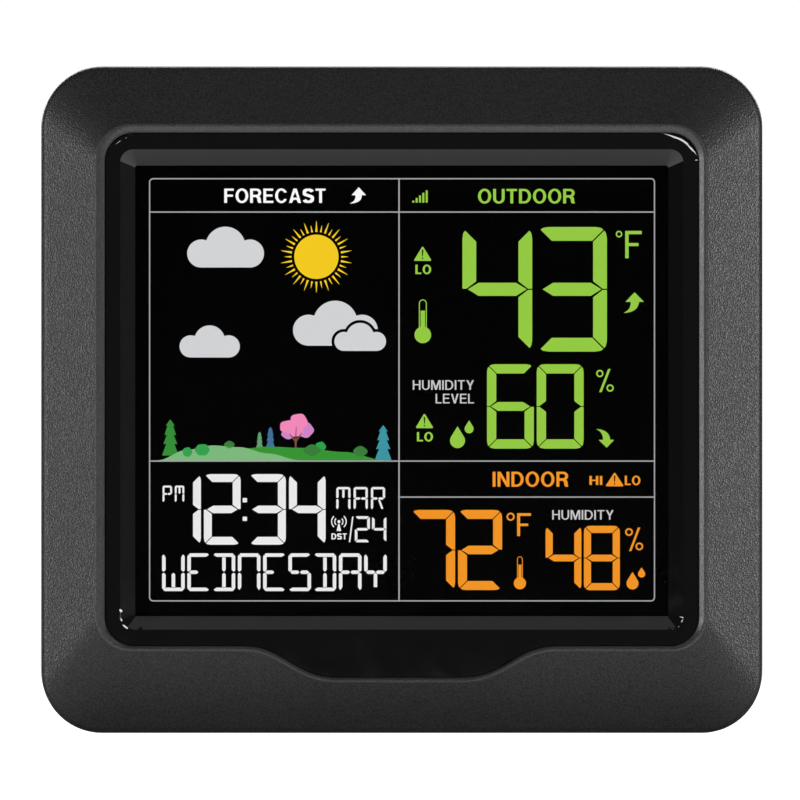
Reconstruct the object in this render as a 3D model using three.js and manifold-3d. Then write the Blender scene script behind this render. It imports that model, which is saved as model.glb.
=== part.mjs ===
// Desktop and wall-hung home weather station with a colour LCD, millimetres, +Z up, the display faces -Y.
// The origin is the centre of the footprint, on the plane the station stands on.
import * as THREE from "three";
import { mergeVertices } from "three/addons/utils/BufferGeometryUtils.js";
import Module from "manifold-3d";

const wasm = await Module();
wasm.setup();

// ---------------------------------------------------------------- driving dimensions
const WIDTH = 178, HEIGHT = 164.4; // outline of the front frame
const Y_FRONT = -14, Y_BACK = 14; // crest of the display lip, rear plane
const Y_SPLIT = -1.0; // rear edge of the front frame
const HALF = WIDTH / 2;
const LIP = { hw: 73.1, z0: 21.3, z1: 147.8, r: 7.1 }; // opening of the front frame
const WINDOW = { hw: 65.6, z0: 28.7, z1: 139.7, r: 0.6 }; // clear window of the glossy trim
const TAB = { outer: 38.4, inner: 16.6, depth: 7.5 }; // dropped tab in the middle of the lower lip
const TAB_FALL = 0.13; // the lip lies on the frame's slope, so its face goes back by this much for each mm the tab drops
const STAND = { hw: 27, pivotY: 10.9, pivotZ: 77.5, barrel: 2.4, pin: 1.5 };
const DOOR = { hw: 28.9, z0: 94.5, axisY: 12.2, axisZ: 133.6 };
const CELL = { r: 5.25, length: 44.5, y: 6.75, z: [125.2, 114.0, 102.8] };
const KEY_X = 56, KEY_Z = [86, 72, 58];
const SCREW = { x: 77, z: [15.5, 149] };
const KEYHOLE = { x: 52, z: 111, head: 4.2, slot: 2.1, up: 8 };
const JACK = { x: 56, z: 34 };
const CORNER = 7; // steps in each large corner

// ---------------------------------------------------------------- solids helpers
const material = (color, roughness, metalness = 0, extra = {}) =>
  new THREE.MeshStandardMaterial({ color, roughness, metalness, ...extra });

function solid(geometry) {
  const flat = geometry.index ? geometry.toNonIndexed() : geometry;
  const bare = new THREE.BufferGeometry().setAttribute("position", flat.getAttribute("position"));
  const merged = mergeVertices(bare, 1e-4);
  const triVerts = new Uint32Array(merged.index.array);
  const vertProperties = new Float32Array(merged.attributes.position.array);
  let m = new wasm.Manifold(new wasm.Mesh({ numProp: 3, vertProperties, triVerts }));
  if (m.volume() < 0) {
    for (let i = 0; i < triVerts.length; i += 3) [triVerts[i + 1], triVerts[i + 2]] = [triVerts[i + 2], triVerts[i + 1]];
    m = new wasm.Manifold(new wasm.Mesh({ numProp: 3, vertProperties, triVerts }));
  }
  return m;
}

function geometryOf(m) {
  const mesh = m.getMesh();
  const position = new Float32Array(mesh.numVert * 3);
  for (let i = 0; i < mesh.numVert; i++)
    position.set(mesh.vertProperties.subarray(i * mesh.numProp, i * mesh.numProp + 3), i * 3);
  const g = new THREE.BufferGeometry();
  g.setAttribute("position", new THREE.BufferAttribute(position, 3));
  g.setIndex(new THREE.BufferAttribute(new Uint32Array(mesh.triVerts), 1));
  g.computeVertexNormals();
  return g;
}

const box = (x0, x1, y0, y1, z0, z1) =>
  solid(new THREE.BoxGeometry(x1 - x0, y1 - y0, z1 - z0).translate((x0 + x1) / 2, (y0 + y1) / 2, (z0 + z1) / 2));
const cylY = (x, z, r, y0, y1, n = 16, r2 = r) =>
  solid(new THREE.CylinderGeometry(r2, r, y1 - y0, n).translate(x, (y0 + y1) / 2, z));
const cylX = (y, z, r, x0, x1, n = 16) =>
  solid(new THREE.CylinderGeometry(r, r, x1 - x0, n).rotateZ(Math.PI / 2).translate((x0 + x1) / 2, y, z));

// A shape drawn in x and z, given depth from y0 to y1.
function prismY(shape, y0, y1, curveSegments = 4) {
  return solid(
    new THREE.ExtrudeGeometry(shape, { depth: y1 - y0, bevelEnabled: false, curveSegments })
      .rotateX(Math.PI / 2)
      .translate(0, y1, 0),
  );
}
// A shape drawn in y and z, given length from x0 to x1.
function prismX(points, x0, x1) {
  const shape = new THREE.Shape(points.map(([y, z]) => new THREE.Vector2(y, z)));
  const g = new THREE.ExtrudeGeometry(shape, { depth: x1 - x0, bevelEnabled: false });
  g.applyMatrix4(new THREE.Matrix4().makeBasis(new THREE.Vector3(0, 1, 0), new THREE.Vector3(0, 0, 1), new THREE.Vector3(1, 0, 0)));
  return solid(g.translate(x0, 0, 0));
}
function roundedShape(x0, x1, z0, z1, r) {
  const s = new THREE.Shape();
  s.moveTo(x0 + r, z0);
  s.lineTo(x1 - r, z0);
  s.absarc(x1 - r, z0 + r, r, -Math.PI / 2, 0, false);
  s.lineTo(x1, z1 - r);
  s.absarc(x1 - r, z1 - r, r, 0, Math.PI / 2, false);
  s.lineTo(x0 + r, z1);
  s.absarc(x0 + r, z1 - r, r, Math.PI / 2, Math.PI, false);
  s.lineTo(x0, z0 + r);
  s.absarc(x0 + r, z0 + r, r, Math.PI, Math.PI * 1.5, false);
  return s;
}
const slab = (x0, x1, z0, z1, r, y0, y1, n = 4) => prismY(roundedShape(x0, x1, z0, z1, r), y0, y1, n);
const union = (...all) => all.reduce((a, b) => a.add(b));
const cut = (from, ...all) => all.reduce((a, b) => a.subtract(b), from);
const both = (f) => union(f(-1), f(1));

// ---------------------------------------------------------------- lofts round the display
// The lower lip drops into a tab in the middle. t runs 0..1 from its left shoulder to its right one, out is a distance outwards.
const TAB_STEPS = 9;
const halfTab = new THREE.CubicBezierCurve(
  new THREE.Vector2(-TAB.outer, 0),
  new THREE.Vector2(-TAB.outer + 10.4, 0),
  new THREE.Vector2(-TAB.inner - 11.6, -TAB.depth),
  new THREE.Vector2(-TAB.inner, -TAB.depth),
);
function tabPoints(z0, out, drop, fall) {
  const left = [];
  for (let i = 0; i <= TAB_STEPS; i++) {
    const p = halfTab.getPoint(i / TAB_STEPS), d = halfTab.getTangent(i / TAB_STEPS);
    const n = new THREE.Vector2(d.y, -d.x); // outwards is down
    left.push(drop ? [p.x + n.x * out, z0 + out + p.y + n.y * out, -p.y * fall] : [p.x, z0, 0]);
  }
  return [...left, ...left.map(([x, z, back]) => [-x, z, back]).reverse()];
}
// One closed loop of the family: a rounded rectangle, with the tab where drop is true.
function loop({ hw, z0, z1, r, y, out = 0, drop = false, fall = 0 }) {
  const points = [];
  const corner = (cx, cz, from) => {
    for (let i = 0; i <= CORNER; i++) {
      const a = from + ((Math.PI / 2) * i) / CORNER;
      points.push([cx + r * Math.cos(a), cz + r * Math.sin(a)]);
    }
  };
  corner(hw - r, z0 + r, -Math.PI / 2);
  corner(hw - r, z1 - r, 0);
  corner(-hw + r, z1 - r, Math.PI / 2);
  corner(-hw + r, z0 + r, Math.PI);
  points.push(...tabPoints(z0, out, drop, fall));
  return points.map(([x, z, back = 0]) => new THREE.Vector3(x, y + back, z));
}
// Joins rings of equal length; ringed closes the last to the first, otherwise both ends are capped.
function loft(rings, ringed) {
  const n = rings[0].length, position = [], index = [];
  rings.forEach((ring) => ring.forEach((p) => position.push(p.x, p.y, p.z)));
  const joins = ringed ? rings.length : rings.length - 1;
  for (let k = 0; k < joins; k++)
    for (let i = 0; i < n; i++) {
      const a = k * n + i, b = k * n + ((i + 1) % n);
      const c = ((k + 1) % rings.length) * n + i, d = ((k + 1) % rings.length) * n + ((i + 1) % n);
      index.push(a, b, d, a, d, c);
    }
  if (!ringed) {
    const cap = (k, flip) => {
      const flat = rings[k].map((p) => new THREE.Vector2(p.x, p.z));
      THREE.ShapeUtils.triangulateShape(flat, []).forEach(([a, b, c]) =>
        flip ? index.push(k * n + c, k * n + b, k * n + a) : index.push(k * n + a, k * n + b, k * n + c),
      );
    };
    cap(0, true);
    cap(rings.length - 1, false);
  }
  const g = new THREE.BufferGeometry();
  g.setAttribute("position", new THREE.Float32BufferAttribute(position, 3));
  g.setIndex(index);
  return solid(g);
}
const inset = (d, y, bottom = d) => ({ hw: HALF - d, z0: bottom, z1: HEIGHT - d, r: 15 - d, y });

// ---------------------------------------------------------------- front frame
const lipRing = (out, y, fall = TAB_FALL) =>
  loop({ hw: LIP.hw + out, z0: LIP.z0 - out, z1: LIP.z1 + out, r: LIP.r + out * 0.7, y, out, drop: true, fall });
let frontBezel = loft(
  [
    loop(inset(0, Y_SPLIT, 0)),
    loop(inset(0.25, -8.4, 0)),
    loop(inset(0.65, -9.25, 0.4)),
    loop(inset(1.6, -9.75, 1.3)),
    lipRing(2.5, -13.75),
    lipRing(1.6, Y_FRONT),
    lipRing(0.9, -13.7),
    lipRing(0.1, -12.7),
    lipRing(0.0, -10.9, 0),
    lipRing(2.5, -10.9, 0),
    loop(inset(2.8, -7.35, 2.6)),
    loop(inset(2.2, -6.6, 2.2)),
    loop(inset(2.1, Y_SPLIT, 2.1)),
  ],
  true,
);
for (const x of [-SCREW.x, SCREW.x])
  for (const z of SCREW.z)
    frontBezel = cut(frontBezel.add(cylY(x, z, 3.8, -11.2, -1.2, 14)), cylY(x, z, 1.75, -8.9, 0, 12));

// ---------------------------------------------------------------- glossy trim with the sloped window edge
const trimRing = (t, y) => {
  // t 0 is the lip's edge, 1 the start of the slope, 2 the window
  const at = (a, b, c) => (t <= 1 ? a + (b - a) * t : b + (c - b) * (t - 1));
  return loop({
    hw: at(72.7, 69.2, WINDOW.hw), z0: at(21.7, 25.4, WINDOW.z0), z1: at(147.4, 143.5, WINDOW.z1), r: at(6.8, 3.2, WINDOW.r), y,
  });
};
const trimEdge = (out, y) => lipRing(out - 0.4, y, 0); // the trim's face stays flat
let glossTrim = loft(
  [
    trimEdge(2.4, -9.3),
    trimEdge(2.4, -10.6),
    trimEdge(0, -10.6),
    trimEdge(0, -12.0),
    trimEdge(-0.35, -12.5),
    trimEdge(-1.0, -12.7),
    trimRing(0.9, -12.65),
    trimRing(1.05, -12.35),
    trimRing(1.97, -9.9),
    trimRing(2, -9.3),
  ],
  true,
);

// ---------------------------------------------------------------- rear case
const rearRing = (y, hw, z0, z1, r) => loop({ hw, z0, z1, r, y });
const rearOutside = (d) =>
  loft(
    [
      rearRing(-0.7 + d, 88.5 - d, 0.5 + d, 163.9 - d, 14.5),
      rearRing(3.0, 88.3 - d, 0.5 + d, 163.7 - d, 14.4),
      rearRing(6.5, 87.4 - d, 0.5 + d, 162.8 - d, 14.0),
      rearRing(9.5, 85.0 - d, 0.6 + d, 160.4 - d, 13.2),
      rearRing(11.8 - d * 0.5, 81.4 - d, 1.0 + d, 156.8 - d, 12.0),
      rearRing(13.2 - d, 77.6 - d * 0.5, 2.0 + d * 0.6, 153.0 - d * 0.5, 10.8),
      rearRing(13.8 - d, 74.6, 3.0, 150.0, 9.8),
      rearRing(Y_BACK - d, 72.2, 4.2, 147.6, 9.0),
    ],
    false,
  );
const rearInside = loft(
  [
    rearRing(-6, 84.6, 4.3, 160.1, 11),
    rearRing(1.6, 84.6, 4.3, 160.1, 11),
    rearRing(2.8, 86.1, 2.8, 161.6, 12.4),
    rearRing(6.5, 85.2, 2.8, 160.7, 12),
    rearRing(9.3, 82.9, 2.9, 158.4, 11),
    rearRing(11.0, 79.2, 3.4, 154.8, 10),
    rearRing(11.8, 75.0, 4.4, 150.5, 8),
    rearRing(12.0, 72.0, 5.5, 147.5, 7),
  ],
  false,
);
const outside = rearOutside(0);
const tongue = loft([rearRing(-3.2, 86.5, 2.5, 161.9, 12.6), rearRing(1.0, 86.5, 2.5, 161.9, 12.6)], false);
let rearCase = cut(outside.add(tongue), rearInside);

const inner = [];
// recess of the stand, with its pocket for a fingertip below the foot
inner.push(box(-29.7, 29.7, 6.7, 13.6, 0.7, 82.3), box(-12, 12, 2.6, 8.3, 0.7, 12.2));
// battery compartment and the ledge under its cover
inner.push(box(-26.6, 26.6, 0.4, 12.1, 95.6, 132.4), box(-31, 31, 11.0, 12.6, 92.6, 135.6));
// bosses of the case screws
for (const x of [-SCREW.x, SCREW.x]) for (const z of SCREW.z) inner.push(cylY(x, z, 5, -0.9, 14, 16));
// thicker wall behind the keys, pockets of the two hanging slots
inner.push(both((s) => box(Math.min(s * 47.5, s * 64.5), Math.max(s * 47.5, s * 64.5), 10.9, 13, 48.5, 95.5)));
inner.push(both((s) => box(s * KEYHOLE.x - 6.5, s * KEYHOLE.x + 6.5, 6, 12.6, 104.4, 127.6)));
// cradles of the time-signal antenna rod
inner.push(both((s) => box(s * 24 - 1.5, s * 24 + 1.5, 5.2, 12.6, 141.6, 154.4)));
rearCase = union(rearCase, ...inner.map((m) => m.intersect(outside)));

const keyholeCut = (s) => {
  const shape = new THREE.Shape(), x = s * KEYHOLE.x, z = KEYHOLE.z, a = Math.asin(KEYHOLE.slot / KEYHOLE.head);
  shape.absarc(x, z, KEYHOLE.head, Math.PI / 2 + a, Math.PI * 2.5 - a, false);
  shape.lineTo(x + KEYHOLE.slot, z + KEYHOLE.up);
  shape.absarc(x, z + KEYHOLE.up, KEYHOLE.slot, 0, Math.PI, false);
  return prismY(shape, 11, 20, 8);
};
const cuts = [
  box(-27.7, 27.7, 8.3, 20, -5, 80.5),
  box(-10.2, 10.2, 4.2, 9, -5, 10.6),
  cylX(STAND.pivotY, STAND.pivotZ, 1.75, -29.95, 29.95, 12),
  slab(-DOOR.hw - 0.3, DOOR.hw + 0.3, DOOR.z0 - 0.3, DOOR.axisZ - 0.9, 0.2, 12.1, 20, 1),
  box(-25.2, 25.2, 1.4, 20, 97, 131),
  both((s) => box(s * 15 - 4.1, s * 15 + 4.1, 9.2, 12.0, 128.4, 136.6)),
  both((s) => box(s * 15 - 4.1, s * 15 + 4.1, 11, 14, 128.4, 131.5)),
  both((s) => prismX([[11.5, 128.4], [12.7, 128.4], [12.7, 132.85], [11.9, 133.75], [11.5, 133.75]], s * 15 - 4.1, s * 15 + 4.1)),
  both((s) => slab(s * KEY_X - 7, s * KEY_X + 7, 50, 94, 3, 12.8, 20, 3)),
  both((s) => union(...KEY_Z.map((z) => slab(s * KEY_X - 4.8, s * KEY_X + 4.8, z - 3.3, z + 3.3, 2.6, 8, 20, 3)))),
  both((s) => box(s * KEYHOLE.x - 5, s * KEYHOLE.x + 5, 7.2, 12.2, 105.8, 126.2)),
  both(keyholeCut),
  cylY(JACK.x, JACK.z, 4.2, 8, 20, 20),
  both((s) => box(s * 62 - 6.3, s * 62 + 6.3, 2.2, 11.8, -5, 1.8)),
  both((s) => cylX(6.5, 148, 4.25, s * 24 - 3, s * 24 + 3, 16)),
  both((s) => box(s * 24 - 3, s * 24 + 3, 0, 6.5, 143.9, 152.1)),
];
for (const x of [-SCREW.x, SCREW.x])
  for (const z of SCREW.z) cuts.push(cylY(x, z, 3.4, 2.6, 30, 16), cylY(x, z, 1.75, -5, 5, 12));
for (let i = 0; i < 6; i++) cuts.push(box(-67, -51, 8, 20, 27.6 + i * 3.4, 29.2 + i * 3.4)); // air to the indoor sensor
for (let i = 0; i < 4; i++) cuts.push(box(54, 66, 8, 20, 134.2 + i * 3, 135.6 + i * 3)); // sound slots
rearCase = cut(rearCase, ...cuts);

// ---------------------------------------------------------------- fold-out stand
const envelope = rearOutside(0.25);
const { pivotY: sy, pivotZ: sz } = STAND;
let kickstand = union(
  box(-27, 27, 11.7, 15, 2.9, 78.4),
  both((s) => box(s * 26 - 1, s * 26 + 1, 8.9, 11.8, 2.9, 77)),
  both((s) => box(s * 9 - 0.8, s * 9 + 0.8, 9.6, 11.8, 2.9, 77)),
  box(-27, 27, 8.9, 11.8, 2.9, 5.1),
  box(-27, 27, 9.6, 11.8, 38, 39.6),
).intersect(envelope);
kickstand = union(kickstand, cylX(sy, sz, STAND.barrel, -27, 27, 20), cylX(sy, sz, STAND.pin, -29.3, 29.3, 12));
kickstand = cut(kickstand, solid(new THREE.SphereGeometry(14, 20, 12).translate(0, 26.15, 12)));

// ---------------------------------------------------------------- battery door with two hooks
const profile = [
  [12.3, DOOR.z0 + 0.5], [12.3, 131.25], [14.0, 132.2], [14.0, DOOR.z0 + 0.3], [13.7, DOOR.z0], [12.3, DOOR.z0],
];
let batteryDoor = prismX(profile, -DOOR.hw, DOOR.hw);
batteryDoor = union(
  batteryDoor,
  both((s) => box(s * 15 - 3.5, s * 15 + 3.5, 10.6, 11.8, 130.1, 135.2)),
  both((s) => box(s * 15 - 3.5, s * 15 + 3.5, 11.5, 12.6, 130.1, 131.2)),
);
// slots each side of the spring latch, and its fingertip hollow
batteryDoor = cut(
  batteryDoor,
  both((s) => box(s * 8.5 - 0.5, s * 8.5 + 0.5, 10, 20, 93, 104)),
  solid(new THREE.SphereGeometry(12, 20, 12).translate(0, 25.2, 99.5)),
);

// ---------------------------------------------------------------- display module
const plate = (hw, z0, z1, y0, y1) => box(-hw, hw, y0, y1, z0, z1);
const displayLens = slab(-70.5, 70.5, 23.9, 145.0, 2, -9.2, -8.0, 3);
const lensGasket = cut(slab(-70, 70, 24.3, 144.6, 2, -7.95, -7.45, 2), slab(-67.2, 67.2, 27.2, 141.4, 1, -9, -6, 2));
const frontPolarizer = plate(68, 26.4, 142.2, -7.4, -7.2);
const lcdFrontGlass = plate(68.5, 23.8, 142.8, -7.1, -6.0);
const lcdRearGlass = plate(68.5, 26.6, 142.8, -5.9, -4.8);
const rearPolarizer = plate(68, 27.0, 142.2, -4.7, -4.5);
const colourFilter = plate(68, 27.0, 142.2, -4.4, -4.2);
const diffuser = plate(68.6, 27.0, 141.0, -4.1, -3.8);
const lightGuide = plate(68.6, 27.0, 141.0, -3.7, -0.95);
const reflector = plate(68.6, 27.0, 141.0, -0.85, -0.65);
let ledStrip = box(-62, 62, -3.6, -1.0, 142.9, 143.7);
for (let i = 0; i < 7; i++) ledStrip = ledStrip.add(box(-56.5 + i * 18 - 1.9 + 2.5, -56.5 + i * 18 + 1.9 + 2.5, -3.3, -1.3, 141.4, 143.0));
let lcdHolder = cut(slab(-71.2, 71.2, 22.0, 145.4, 1.5, -7.3, 0.25, 2), box(-69.8, 69.8, -9, -0.55, 23.4, 144.0));
lcdHolder = union(
  lcdHolder,
  ...[[-66, 40], [66, 40], [-66, 88], [66, 88]].map(([x, z]) => cylY(x, z, 2.8, 0.1, 2.3, 12)),
);
lcdHolder = cut(lcdHolder, box(-46, 46, -3, 3, 23.8, 26.4), both((s) => cylY(s * 66, 40, 1.15, -3, 3, 10)));
const lcdFlex = prismX(
  [[-5.9, 23.9], [-5.75, 23.9], [-5.75, 24.9], [2.05, 24.9], [2.05, 18.5], [2.25, 18.5], [2.25, 25.1], [-5.75, 25.1], [-5.75, 26.2], [-5.9, 26.2]],
  -44, 44,
);

// ---------------------------------------------------------------- electronics
let mainPcb = slab(-70, 70, 14.5, 91, 1.5, 2.4, 4.0, 2);
mainPcb = cut(mainPcb, both((s) => cylY(s * 66, 40, 1.3, 0, 6, 10)));
const mcuBlob = solid(
  new THREE.LatheGeometry([[0, 0], [7.4, 0], [7.0, 0.7], [5.6, 1.3], [3.4, 1.75], [0, 1.95]].map(([r, h]) => new THREE.Vector2(r, h)), 20).translate(12, 4.05, 50),
);
const clockCrystal = cylX(5.2, 38, 1.05, -6, 0.4, 10);
const capacitor = cylY(42, 30, 3.15, 4.05, 10.6, 16);
const receiverModule = union(box(-24, -4, 4.1, 4.9, 61, 78), box(-21.5, -14, 4.8, 6.2, 65, 73), box(-12, -7.5, 4.8, 6.0, 64, 70));
const wire = (points, r, steps, sides = 8) => {
  const curve = new THREE.CatmullRomCurve3(points.map((p) => new THREE.Vector3(...p)), false, "centripetal");
  const section = new THREE.Shape(Array.from({ length: sides }, (_, i) => new THREE.Vector2(r * Math.cos((2 * Math.PI * i) / sides), r * Math.sin((2 * Math.PI * i) / sides))));
  return solid(new THREE.ExtrudeGeometry(section, { steps, bevelEnabled: false, extrudePath: curve }));
};
const receiverAntenna = wire(
  [[-24.6, 5.4, 71], [-33, 5.4, 71], [-36.5, 5.6, 76], [-36.5, 6.5, 100], [-36.5, 6.5, 138], [-34, 6.5, 152], [-24, 6.5, 157], [0, 6.5, 157.4], [34, 6.5, 157.4]],
  0.55, 30,
);
const ferriteRod = cylX(6.5, 148, 4.0, -30, 30, 16);
const ferriteCoil = cut(cylX(6.5, 148, 5.3, -11, 11, 18), cylX(6.5, 148, 4.3, -12, 12, 16));
const piezoBuzzer = cut(union(cylY(60, 138.5, 9, 8.2, 11.8, 20), cylY(60, 138.5, 6.6, 7.4, 8.4, 16)), cylY(60, 138.5, 1.2, 10.2, 13, 8));
const sensorBoard = union(box(-66, -52, 8.0, 9.0, 28, 45), box(-61, -57, 8.9, 10.4, 35, 39));
let dcJack = union(box(JACK.x - 4.8, JACK.x + 4.8, 4.1, 11.6, JACK.z - 4.6, JACK.z + 4.6), cylY(JACK.x, JACK.z, 3.9, 11, 13.6, 20));
dcJack = union(cut(dcJack, cylY(JACK.x, JACK.z, 2.85, 5.2, 20, 20)), cylY(JACK.x, JACK.z, 1.0, 5.0, 12.8, 10));

// cells alternate, so each end has springs and flat plates
const cell = (z, dir) =>
  solid(
    new THREE.LatheGeometry(
      [[0, 0], [4.9, 0], [CELL.r, 0.4], [CELL.r, 43.0], [4.9, 43.4], [1.9, 43.5], [1.9, 44.5], [0, 44.5]].map(([r, h]) => new THREE.Vector2(r, h)), 20,
    ).rotateZ((-dir * Math.PI) / 2).translate(dir * -20.3, CELL.y, z),
  );
const spring = (z, dir) => {
  // dir is the side of the compartment the spring stands on
  const turns = 2.4, points = [];
  for (let i = 0; i <= 30; i++) {
    const t = i / 30, a = t * turns * 2 * Math.PI, r = 3.4 - 1.1 * t;
    points.push(new THREE.Vector3(dir * (24.65 - 3.75 * t), CELL.y + r * Math.cos(a), z + r * Math.sin(a)));
  }
  const section = new THREE.Shape(Array.from({ length: 5 }, (_, i) => new THREE.Vector2(0.32 * Math.cos((2 * Math.PI * i) / 5), 0.32 * Math.sin((2 * Math.PI * i) / 5))));
  return solid(new THREE.ExtrudeGeometry(section, { steps: 30, bevelEnabled: false, extrudePath: new THREE.CatmullRomCurve3(points) }));
};
const leaf = (dir, z0, z1) => box(Math.min(dir * 24.5, dir * 25.0), Math.max(dir * 24.5, dir * 25.0), 2.2, 11.2, z0, z1);
const [c1, c2, c3] = CELL.z;
const contactPositive = leaf(1, c1 - 4.2, c1 + 4.2);
const contactBridgeLeft = union(leaf(-1, c2 - 4.2, c1 + 4.2), spring(c1, -1));
const contactBridgeRight = union(leaf(1, c3 - 4.2, c2 + 4.2), spring(c2, 1));
const contactNegative = union(leaf(-1, c3 - 4.2, c3 + 4.2), spring(c3, -1));
const leadRed = wire([[27.6, 5.0, 122], [30.5, 5.0, 119], [31.5, 4.9, 104], [30.5, 4.9, 95], [24, 4.9, 88]], 0.6, 14);
const leadBlack = wire([[-27.6, 5.0, 101], [-29.5, 5.0, 99], [-29.5, 4.9, 94], [-24, 4.9, 87.5]], 0.6, 10);

// ---------------------------------------------------------------- keys, switches, screws, pads
const keyCap = (x, z) =>
  union(
    slab(x - 4.5, x + 4.5, z - 3, z + 3, 2.4, 10.5, 13.5, 3),
    slab(x - 4.1, x + 4.1, z - 2.6, z + 2.6, 2.2, 13.4, 13.9, 3),
    slab(x - 5.5, x + 5.5, z - 4, z + 4, 2, 9.6, 10.6, 2),
    cylY(x, z, 1.5, 6.9, 9.8, 10),
  );
const tactSwitch = (x, z) => cut(union(box(x - 3, x + 3, 4.1, 7.3, z - 3, z + 3), cylY(x, z, 2.4, 7.1, 7.6, 12)), cylY(x, z, 1.8, 5.5, 8, 10));
const crossed = (x, z, y, size) => union(box(x - size, x + size, y, y + 3, z - 0.4, z + 0.4), box(x - 0.4, x + 0.4, y, y + 3, z - size, z + size));
const caseScrew = (x, z) => cut(union(cylY(x, z, 1.45, -8.2, 3, 10), cylY(x, z, 2.9, 2.7, 4.3, 16, 2.3)), crossed(x, z, 3.3, 1.5));
const pcbScrew = (x, z) => cut(union(cylY(x, z, 0.95, -0.35, 4.4, 8), cylY(x, z, 2.3, 4.1, 5.5, 14, 1.9)), crossed(x, z, 4.8, 1.2));
const footPad = (x) => slabZ(x - 6, x + 6, 2.5, 11.5, 0, 1.7);
function slabZ(x0, x1, y0, y1, z0, z1) {
  return solid(new THREE.ExtrudeGeometry(roundedShape(x0, x1, y0, y1, 2), { depth: z1 - z0, bevelEnabled: false, curveSegments: 3 }).translate(0, 0, z0));
}
const kickstandPad = box(-22, 22, 9.2, 12.0, 1.0, 2.8);

// ---------------------------------------------------------------- the scene
const charcoal = material(0x2b2b2c, 0.55), black = material(0x050505, 0.08), clear = material(0xe8eef0, 0.03, 0, { transparent: true, opacity: 0.25 });
const rubber = material(0x161616, 0.9), glassM = material(0xc9d6d4, 0.05), film = material(0x0a0a0c, 0.2), white = material(0xe6e6e2, 0.5);
const steel = material(0xb5b7ba, 0.3, 1), nickel = material(0xc4c2bb, 0.25, 1), pcb = material(0x1f5a34, 0.45), amber = material(0xc07a2c, 0.4);
const blackPlastic = material(0x121212, 0.5), copper = material(0xb0622d, 0.35, 0.8), ferrite = material(0x26262a, 0.7), foam = material(0x1a1a1a, 0.95);
const acrylic = material(0xdfe9ee, 0.1), tint = material(0x7b8c5a, 0.3), epoxy = material(0x0d0d0d, 0.3), red = material(0xa01818, 0.5), label = material(0x3a5f86, 0.35);

const station = new THREE.Group();
const front = new THREE.Group(), display = new THREE.Group(), electronics = new THREE.Group(), power = new THREE.Group(), back = new THREE.Group();
station.add(front, display, electronics, power, back);
const add = (group, name, m, mat) => {
  const mesh = new THREE.Mesh(geometryOf(m), mat);
  mesh.name = name;
  group.add(mesh);
};
add(front, "front_bezel", frontBezel, charcoal);
add(front, "gloss_trim", glossTrim, black);
add(front, "display_lens", displayLens, clear);
add(front, "lens_gasket", lensGasket, foam);
add(display, "front_polarizer", frontPolarizer, film);
add(display, "lcd_front_glass", lcdFrontGlass, glassM);
add(display, "lcd_rear_glass", lcdRearGlass, glassM);
add(display, "rear_polarizer", rearPolarizer, film);
add(display, "colour_filter_film", colourFilter, tint);
add(display, "diffuser_sheet", diffuser, white);
add(display, "light_guide", lightGuide, acrylic);
add(display, "reflector_sheet", reflector, white);
add(display, "led_strip", ledStrip, white);
add(display, "lcd_holder", lcdHolder, white);
add(display, "lcd_flex", lcdFlex, amber);
add(electronics, "main_pcb", mainPcb, pcb);
add(electronics, "mcu_blob", mcuBlob, epoxy);
add(electronics, "clock_crystal", clockCrystal, steel);
add(electronics, "capacitor", capacitor, epoxy);
add(electronics, "receiver_module", receiverModule, pcb);
add(electronics, "receiver_antenna", receiverAntenna, blackPlastic);
add(electronics, "ferrite_rod", ferriteRod, ferrite);
add(electronics, "ferrite_coil", ferriteCoil, copper);
add(electronics, "piezo_buzzer", piezoBuzzer, blackPlastic);
add(electronics, "sensor_board", sensorBoard, pcb);
add(electronics, "dc_jack", dcJack, blackPlastic);
add(power, "battery_1", cell(c1, 1), label);
add(power, "battery_2", cell(c2, -1), label);
add(power, "battery_3", cell(c3, 1), label);
add(power, "contact_positive", contactPositive, nickel);
add(power, "contact_bridge_left", contactBridgeLeft, nickel);
add(power, "contact_bridge_right", contactBridgeRight, nickel);
add(power, "contact_negative", contactNegative, nickel);
add(power, "battery_lead_red", leadRed, red);
add(power, "battery_lead_black", leadBlack, blackPlastic);
add(back, "rear_case", rearCase, charcoal);
add(back, "battery_door", batteryDoor, charcoal);
add(back, "kickstand", kickstand, charcoal);
add(back, "kickstand_pad", kickstandPad, rubber);
add(back, "foot_pad_left", footPad(-62), rubber);
add(back, "foot_pad_right", footPad(62), rubber);
const corners = { upper_left: [-SCREW.x, SCREW.z[1]], upper_right: [SCREW.x, SCREW.z[1]], lower_left: [-SCREW.x, SCREW.z[0]], lower_right: [SCREW.x, SCREW.z[0]] };
for (const [name, [x, z]] of Object.entries(corners)) add(back, "case_screw_" + name, caseScrew(x, z), steel);
add(electronics, "pcb_screw_left", pcbScrew(-66, 40), steel);
add(electronics, "pcb_screw_right", pcbScrew(66, 40), steel);
const keys = { light: [-KEY_X, KEY_Z[0]], plus: [-KEY_X, KEY_Z[1]], minus: [-KEY_X, KEY_Z[2]], time: [KEY_X, KEY_Z[0]], alert: [KEY_X, KEY_Z[1]], search: [KEY_X, KEY_Z[2]] };
for (const [name, [x, z]] of Object.entries(keys)) {
  add(back, "key_" + name, keyCap(x, z), blackPlastic);
  add(electronics, "switch_" + name, tactSwitch(x, z), steel);
}
export default station;
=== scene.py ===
"""Looks for the home weather station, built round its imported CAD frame."""

import math

import bmesh
import bpy
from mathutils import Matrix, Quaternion, Vector


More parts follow.
